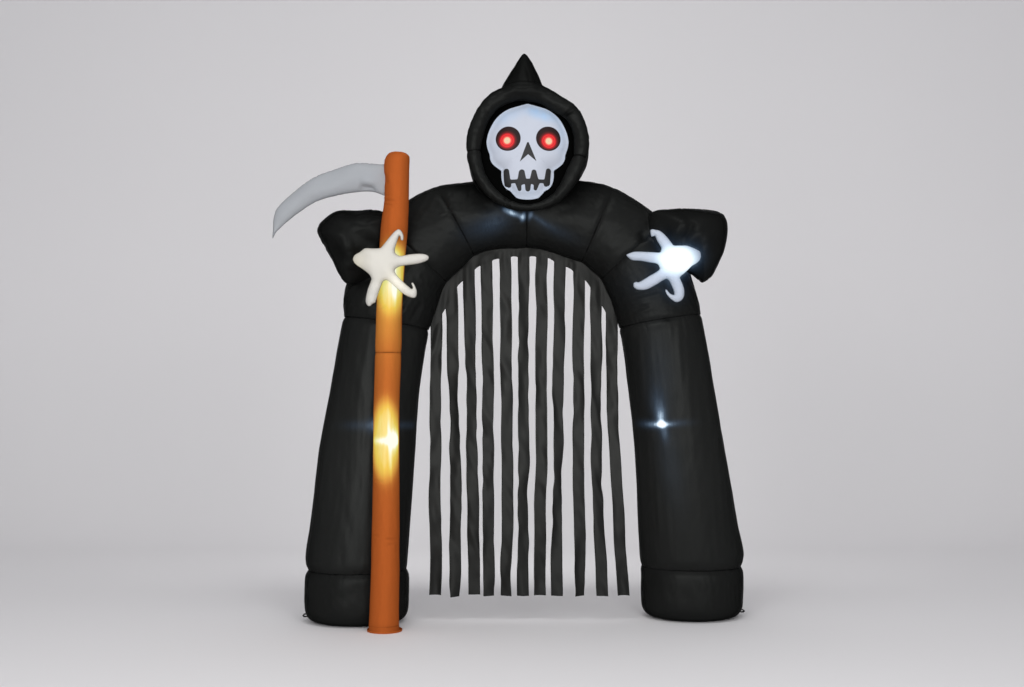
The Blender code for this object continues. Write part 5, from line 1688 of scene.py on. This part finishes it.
class ARCH_OT_curtain(bpy.types.Operator):
    """The strip curtain: one sheet, slit from the hem up to its heading"""

    bl_idname = "arch.curtain"
    bl_label = "Strip curtain"

    def execute(self, context):
        cloth = context.scene.arch_cloth
        points, quads, flats = [], [], []
        count = 0
        area = 0.0
        previous = None
        for number, strip in enumerate(STRIPS):
            top_x = strip[0]
            across = np.linspace(-1, 1, STRIP_COLUMNS)
            x = top_x + across * STRIP_WIDTH / 2
            slit_left, slit_right = SLITS[number][1], SLITS[number + 1][0]
            slit = slit_left + (slit_right - slit_left) * (across + 1) / 2
            heading = self.heading(x, slit, HEADING_ROWS)
            hanging = self.hanging(number, strip, across, slit, STRIP_ROWS)
            fade = 1 - smooth(np.linspace(0, 1, STRIP_ROWS)[:, None], 0.0, 0.10)
            hanging[..., 1] += heading[-1, :, 1] * fade
            block = np.vstack((heading, hanging[1:]))
            index = count + np.arange(len(block) * STRIP_COLUMNS).reshape(len(block), STRIP_COLUMNS)
            quads.append(self.squares(index))
            points.append(block.reshape(-1, 3))
            flats.append(self.flat(x, heading, hanging))
            count += index.size
            area += STRIP_WIDTH * float(np.mean(opening(x)[0]) - strip[6])
            if previous is not None:
                start_x, left_index, left_block = previous
                gap_x = np.linspace(start_x, x[0], GAP_COLUMNS + 2)
                left_top, right_top = SLITS[number]
                share = np.linspace(0, 1, GAP_COLUMNS + 2)
                rounded = 0.10 * (x[0] - start_x) * (1 - (2 * share - 1) ** 4)
                gap_slit = left_top + (right_top - left_top) * share + rounded
                full = self.heading(gap_x, gap_slit, HEADING_ROWS)
                full[:, 0] = left_block[:HEADING_ROWS, -1]
                full[:, -1] = block[:HEADING_ROWS, 0]
                inner = full[:, 1:-1]
                inner_index = count + np.arange(inner[..., 0].size).reshape(inner.shape[:2])
                left_edge, right_edge = left_index[:HEADING_ROWS, -1], index[:HEADING_ROWS, 0]
                quads.append(self.squares(np.column_stack((left_edge, inner_index, right_edge))))
                points.append(inner.reshape(-1, 3))
                flats.append(np.stack((inner[..., 0], inner[..., 2]), axis=-1).reshape(-1, 2))
                count += inner_index.size
                area += (x[0] - start_x) * float(np.mean(opening(gap_x)[0] - gap_slit))
            previous = (x[-1], index, block)
        quads = np.vstack(quads)
        flats = np.vstack(flats)
        uv = flats[quads.reshape(-1)]
        mesh = new_mesh("strip_curtain", np.vstack(points), quads, np.empty((0, 3), int), uv)
        set_attribute(mesh, "seam", np.full(len(mesh.vertices), 1.0))
        curtain = new_piece("strip_curtain", mesh, curtain_nylon(), ["strip_curtain"])
        thick = curtain.modifiers.new("cloth", "SOLIDIFY")
        thick.thickness = cloth.curtain_thick
        thick.offset = 0.0
        length = float(opening(0.0)[0]) - STRIPS[5][6]
        return {"FINISHED"}

    @staticmethod
    def squares(index):
        corners = (index[:-1, :-1], index[:-1, 1:], index[1:, 1:], index[1:, :-1])
        return np.stack(corners, axis=-1).reshape(-1, 4)

    @staticmethod
    def flat(x, heading, hanging):
        """The map: where each point was before the strips turned."""
        down = np.concatenate((heading[:, 0, 2], hanging[1:, 0, 2]))
        return np.stack(np.meshgrid(x, down), axis=-1).reshape(-1, 2)

    @staticmethod
    def heading(x, slit, rows):
        """Rows from just inside the arch's seam down to the slits, with a small ruffle under the edge."""
        top, slope = opening(x)
        top = top + 0.008 * np.sqrt(1 + np.clip(slope, -2.5, 2.5) ** 2)
        share = np.linspace(0, 1, rows)[:, None]
        z = top[None, :] + (slit - top)[None, :] * share
        place = np.stack((np.broadcast_to(x, z.shape), 0 * z, z), axis=-1)
        ruffle = 0.0045 * waves(place * np.array((1.0, 0.0, 0.12)), 0.035, 1300) * (0.5 + 0.5 * share)
        slow = 0.006 * waves(place, 0.16, 1310) * share
        return np.stack((place[..., 0], (ruffle + slow) * smooth(share, 0.0, 0.5), z), axis=-1)

    @staticmethod
    def hanging(number, strip, across, slit, rows):
        """A strip below its heading. Its middle line and its turn run through their values at the top,
        half-way and the hem, and waves are added to the turn, to the middle line and across the strip. It
        sways to the back and to the front, by more further down."""
        top_x, mid_x, hem_x, mid_turn, hem_turn, sway, hem_z = strip
        share = np.linspace(0, 1, rows)[:, None]
        blend = ((1 - share) * (1 - 2 * share), 4 * share * (1 - share), share * (2 * share - 1))
        centre = top_x * blend[0] + mid_x * blend[1] + hem_x * blend[2]
        drop = share * (slit.mean() - hem_z)
        line = np.concatenate((0 * drop, 0 * drop, drop), axis=1)
        start = smooth(share, 0.0, 0.06)
        seed = 1400 + 20 * number
        turn = np.radians(mid_turn * blend[1] + hem_turn * blend[2])
        turn = turn + np.radians(7) * waves(line, 0.42, seed)[:, None] * start
        turn = turn + np.radians(6) * waves(line, 0.15, seed + 1)[:, None] * start
        centre = centre + 0.0018 * waves(line, 0.30, seed + 2)[:, None] * start
        half = STRIP_WIDTH / 2 * across[None, :]
        drift = sway * np.sin(2.6 * math.pi * share) * np.sqrt(share)
        cup = (0.006 * waves(line, 0.35, seed + 3)[:, None] + 0.002) * (1 - across[None, :] ** 2) * start
        z = slit[None, :] + (hem_z - slit)[None, :] * share
        skew = np.stack((half + 0 * z, 0 * z, 0.55 * (z + 0.9 * half)), axis=-1)
        fold = 0.0022 * waves(skew, 0.055, seed + 4) * start
        x = centre + half * np.cos(turn) - (cup + fold) * np.sin(turn)
        y = drift + half * np.sin(turn) + (cup + fold) * np.cos(turn)
        return np.stack((x, y, z), axis=-1)


class ARCH_OT_loops(bpy.types.Operator):
    """A webbing loop at the outer edge of each foot"""

    bl_idname = "arch.loops"
    bl_label = "Tether loops"

    def execute(self, context):
        material = webbing_tape()
        for side, root_x, mid_y, outward in (("left", -1.0555, 0.0, -1), ("right", 1.0507, 0.130, 1)):
            turn = turns(LOOP_COLUMNS)
            profile = []
            half = LOOP_WIDTH / 2
            for inset, y in ((0, -half), (0, half), (LOOP_BAND, half), (LOOP_BAND, -half)):
                long, high = LOOP_LENGTH / 2 - inset, LOOP_HEIGHT / 2 - inset
                ring = np.stack(
                    (
                        root_x + outward * (LOOP_LENGTH / 2 + long * np.cos(turn)),
                        np.full(LOOP_COLUMNS, mid_y + y),
                        LOOP_Z + high * np.sin(turn) * (0.75 + 0.25 * np.cos(turn)),
                    ),
                    axis=-1,
                )
                profile.append(ring)
            ring_index = np.arange(4 * LOOP_COLUMNS).reshape(4, LOOP_COLUMNS)
            around = np.roll(ring_index, -1, axis=0)
            step, turned = np.roll(ring_index, -1, axis=1), np.roll(around, -1, axis=1)
            quads = np.stack((ring_index, step, turned, around), axis=-1).reshape(-1, 4)
            points = np.vstack(profile)
            uv = points[quads.reshape(-1), :2]
            name = f"tether_loop_{side}"
            mesh = new_mesh(name, points, quads, np.empty((0, 3), int), uv)
            set_attribute(mesh, "seam", np.full(len(points), 1.0))
            new_piece(name, mesh, material, [name], sharp_deg=35)
        return {"FINISHED"}


# ---- stage ----


def area_light(name, place, towards, size, power, colour=(1.0, 1.0, 1.0)):
    lamp = bpy.data.lights.new(name, "AREA")
    lamp.shape = "RECTANGLE"
    lamp.size, lamp.size_y = size
    lamp.energy = power
    lamp.color = colour
    holder = bpy.data.objects.new(name, lamp)
    bpy.context.scene.collection.objects.link(holder)
    place, towards = Vector(place), Vector(towards)
    holder.location = place
    holder.rotation_euler = (towards - place).to_track_quat("-Z", "Y").to_euler()
    holder.visible_camera = False


class ARCH_OT_stage(bpy.types.Operator):
    """Floor and backdrop in one sweep, soft lights and the camera"""

    bl_idname = "arch.stage"
    bl_label = "Stage"

    def execute(self, context):
        scene = context.scene
        stage = scene.arch_stage
        front, wall, bend, top, side = -9.0, 5.0, 2.0, 9.0, 14.0
        turn = np.linspace(0, math.pi / 2, 24)
        profile = [(front, 0.0), (wall - bend, 0.0)]
        profile += [(wall - bend + bend * math.sin(a), bend - bend * math.cos(a)) for a in turn[1:]]
        profile = np.array([*profile, (wall, top)])
        sides = np.array((-side, side))
        points = np.array([(x, y, z) for y, z in profile for x in sides])
        rows = np.arange(len(profile) - 1) * 2
        quads = np.column_stack((rows, rows + 1, rows + 3, rows + 2))
        mesh = bpy.data.meshes.new("studio_sweep")
        mesh.from_pydata(points.tolist(), [], quads.tolist())
        mesh.shade_smooth()
        paper = Finish("studio_paper", {"Roughness": 0.75, "Specular IOR Level": 0.2})
        shade = paper.noise(0.35, 2.0)
        risen = paper.parts(paper.place())[2].between(0.0, 2.5)
        colour = paper.mix(risen, tuple(stage.floor), tuple(stage.wall))
        paper.feed("Base Color", paper.mix(shade * 0.03, colour, (0.5, 0.5, 0.5)))
        mesh.materials.append(paper.material)
        sweep = bpy.data.objects.new("studio_sweep", mesh)
        scene.collection.objects.link(sweep)

        world = bpy.data.worlds.new("studio")
        world.use_nodes = True
        world.node_tree.nodes["Background"].inputs["Color"].default_value = (0.97, 0.97, 1.0, 1.0)
        world.node_tree.nodes["Background"].inputs["Strength"].default_value = 0.50
        scene.world = world
        area_light("key", (-1.7, -5.6, 1.6), (0.0, 0.0, 1.2), (1.8, 3.0), 105)
        area_light("fill", (1.8, -5.6, 1.6), (0.0, 0.0, 1.2), (1.8, 3.0), 85)
        area_light("overhead", (0.0, -2.2, 5.0), (0.0, -1.0, 0.0), (2.4, 2.4), 50)
        area_light("backdrop", (0.0, 1.2, 1.8), (0.0, 5.0, 1.3), (1.4, 1.4), 19)

        camera = bpy.data.cameras.new("camera")
        camera.sensor_width = 36.0
        camera.lens = stage.lens
        holder = bpy.data.objects.new("camera", camera)
        holder.location = (stage.camera_x + ARCH_PLACE[0], stage.camera_y + ARCH_PLACE[1], stage.camera_z)
        holder.rotation_euler = (math.pi / 2 + stage.camera_tilt, 0.0, 0.0)
        scene.collection.objects.link(holder)
        scene.camera = holder
        scene.view_settings.view_transform = "Standard"
        return {"FINISHED"}


class ARCH_PT_panel(bpy.types.Panel):
    """Builds the arch piece by piece"""

    bl_label = "Inflatable Arch"
    bl_idname = "ARCH_PT_panel"
    bl_space_type = "VIEW_3D"
    bl_region_type = "UI"
    bl_category = "Arch"

    def draw(self, context):
        for operator in OPERATORS:
            self.layout.operator(operator.bl_idname)
        for key in SETTINGS:
            settings = getattr(context.scene, key)
            box = self.layout.box()
            for name in settings.__annotations__:
                box.prop(settings, name)


OPERATORS = (
    ARCH_OT_legs,
    ARCH_OT_panels,
    ARCH_OT_hood,
    ARCH_OT_skull,
    ARCH_OT_sleeves,
    ARCH_OT_hands,
    ARCH_OT_scythe,
    ARCH_OT_curtain,
    ARCH_OT_loops,
    ARCH_OT_stage,
)
SETTINGS = {"arch_cloth": ArchCloth, "arch_colours": ArchColours, "arch_stage": ArchStage}


def register():
    for group in SETTINGS.values():
        bpy.utils.register_class(group)
    for operator in OPERATORS:
        bpy.utils.register_class(operator)
    bpy.utils.register_class(ARCH_PT_panel)
    for key, group in SETTINGS.items():
        setattr(bpy.types.Scene, key, PointerProperty(type=group))


def unregister():
    for key in SETTINGS:
        delattr(bpy.types.Scene, key)
    bpy.utils.unregister_class(ARCH_PT_panel)
    for cls in (*reversed(OPERATORS), *SETTINGS.values()):
        bpy.utils.unregister_class(cls)


def main():
    register()
    bpy.ops.arch.legs()
    bpy.ops.arch.panels()
    bpy.ops.arch.hood()
    bpy.ops.arch.skull()
    bpy.ops.arch.sleeves()
    bpy.ops.arch.hands()
    bpy.ops.arch.scythe()
    bpy.ops.arch.curtain()
    bpy.ops.arch.loops()
    bpy.ops.arch.stage()


if __name__ == "__main__":
    main()
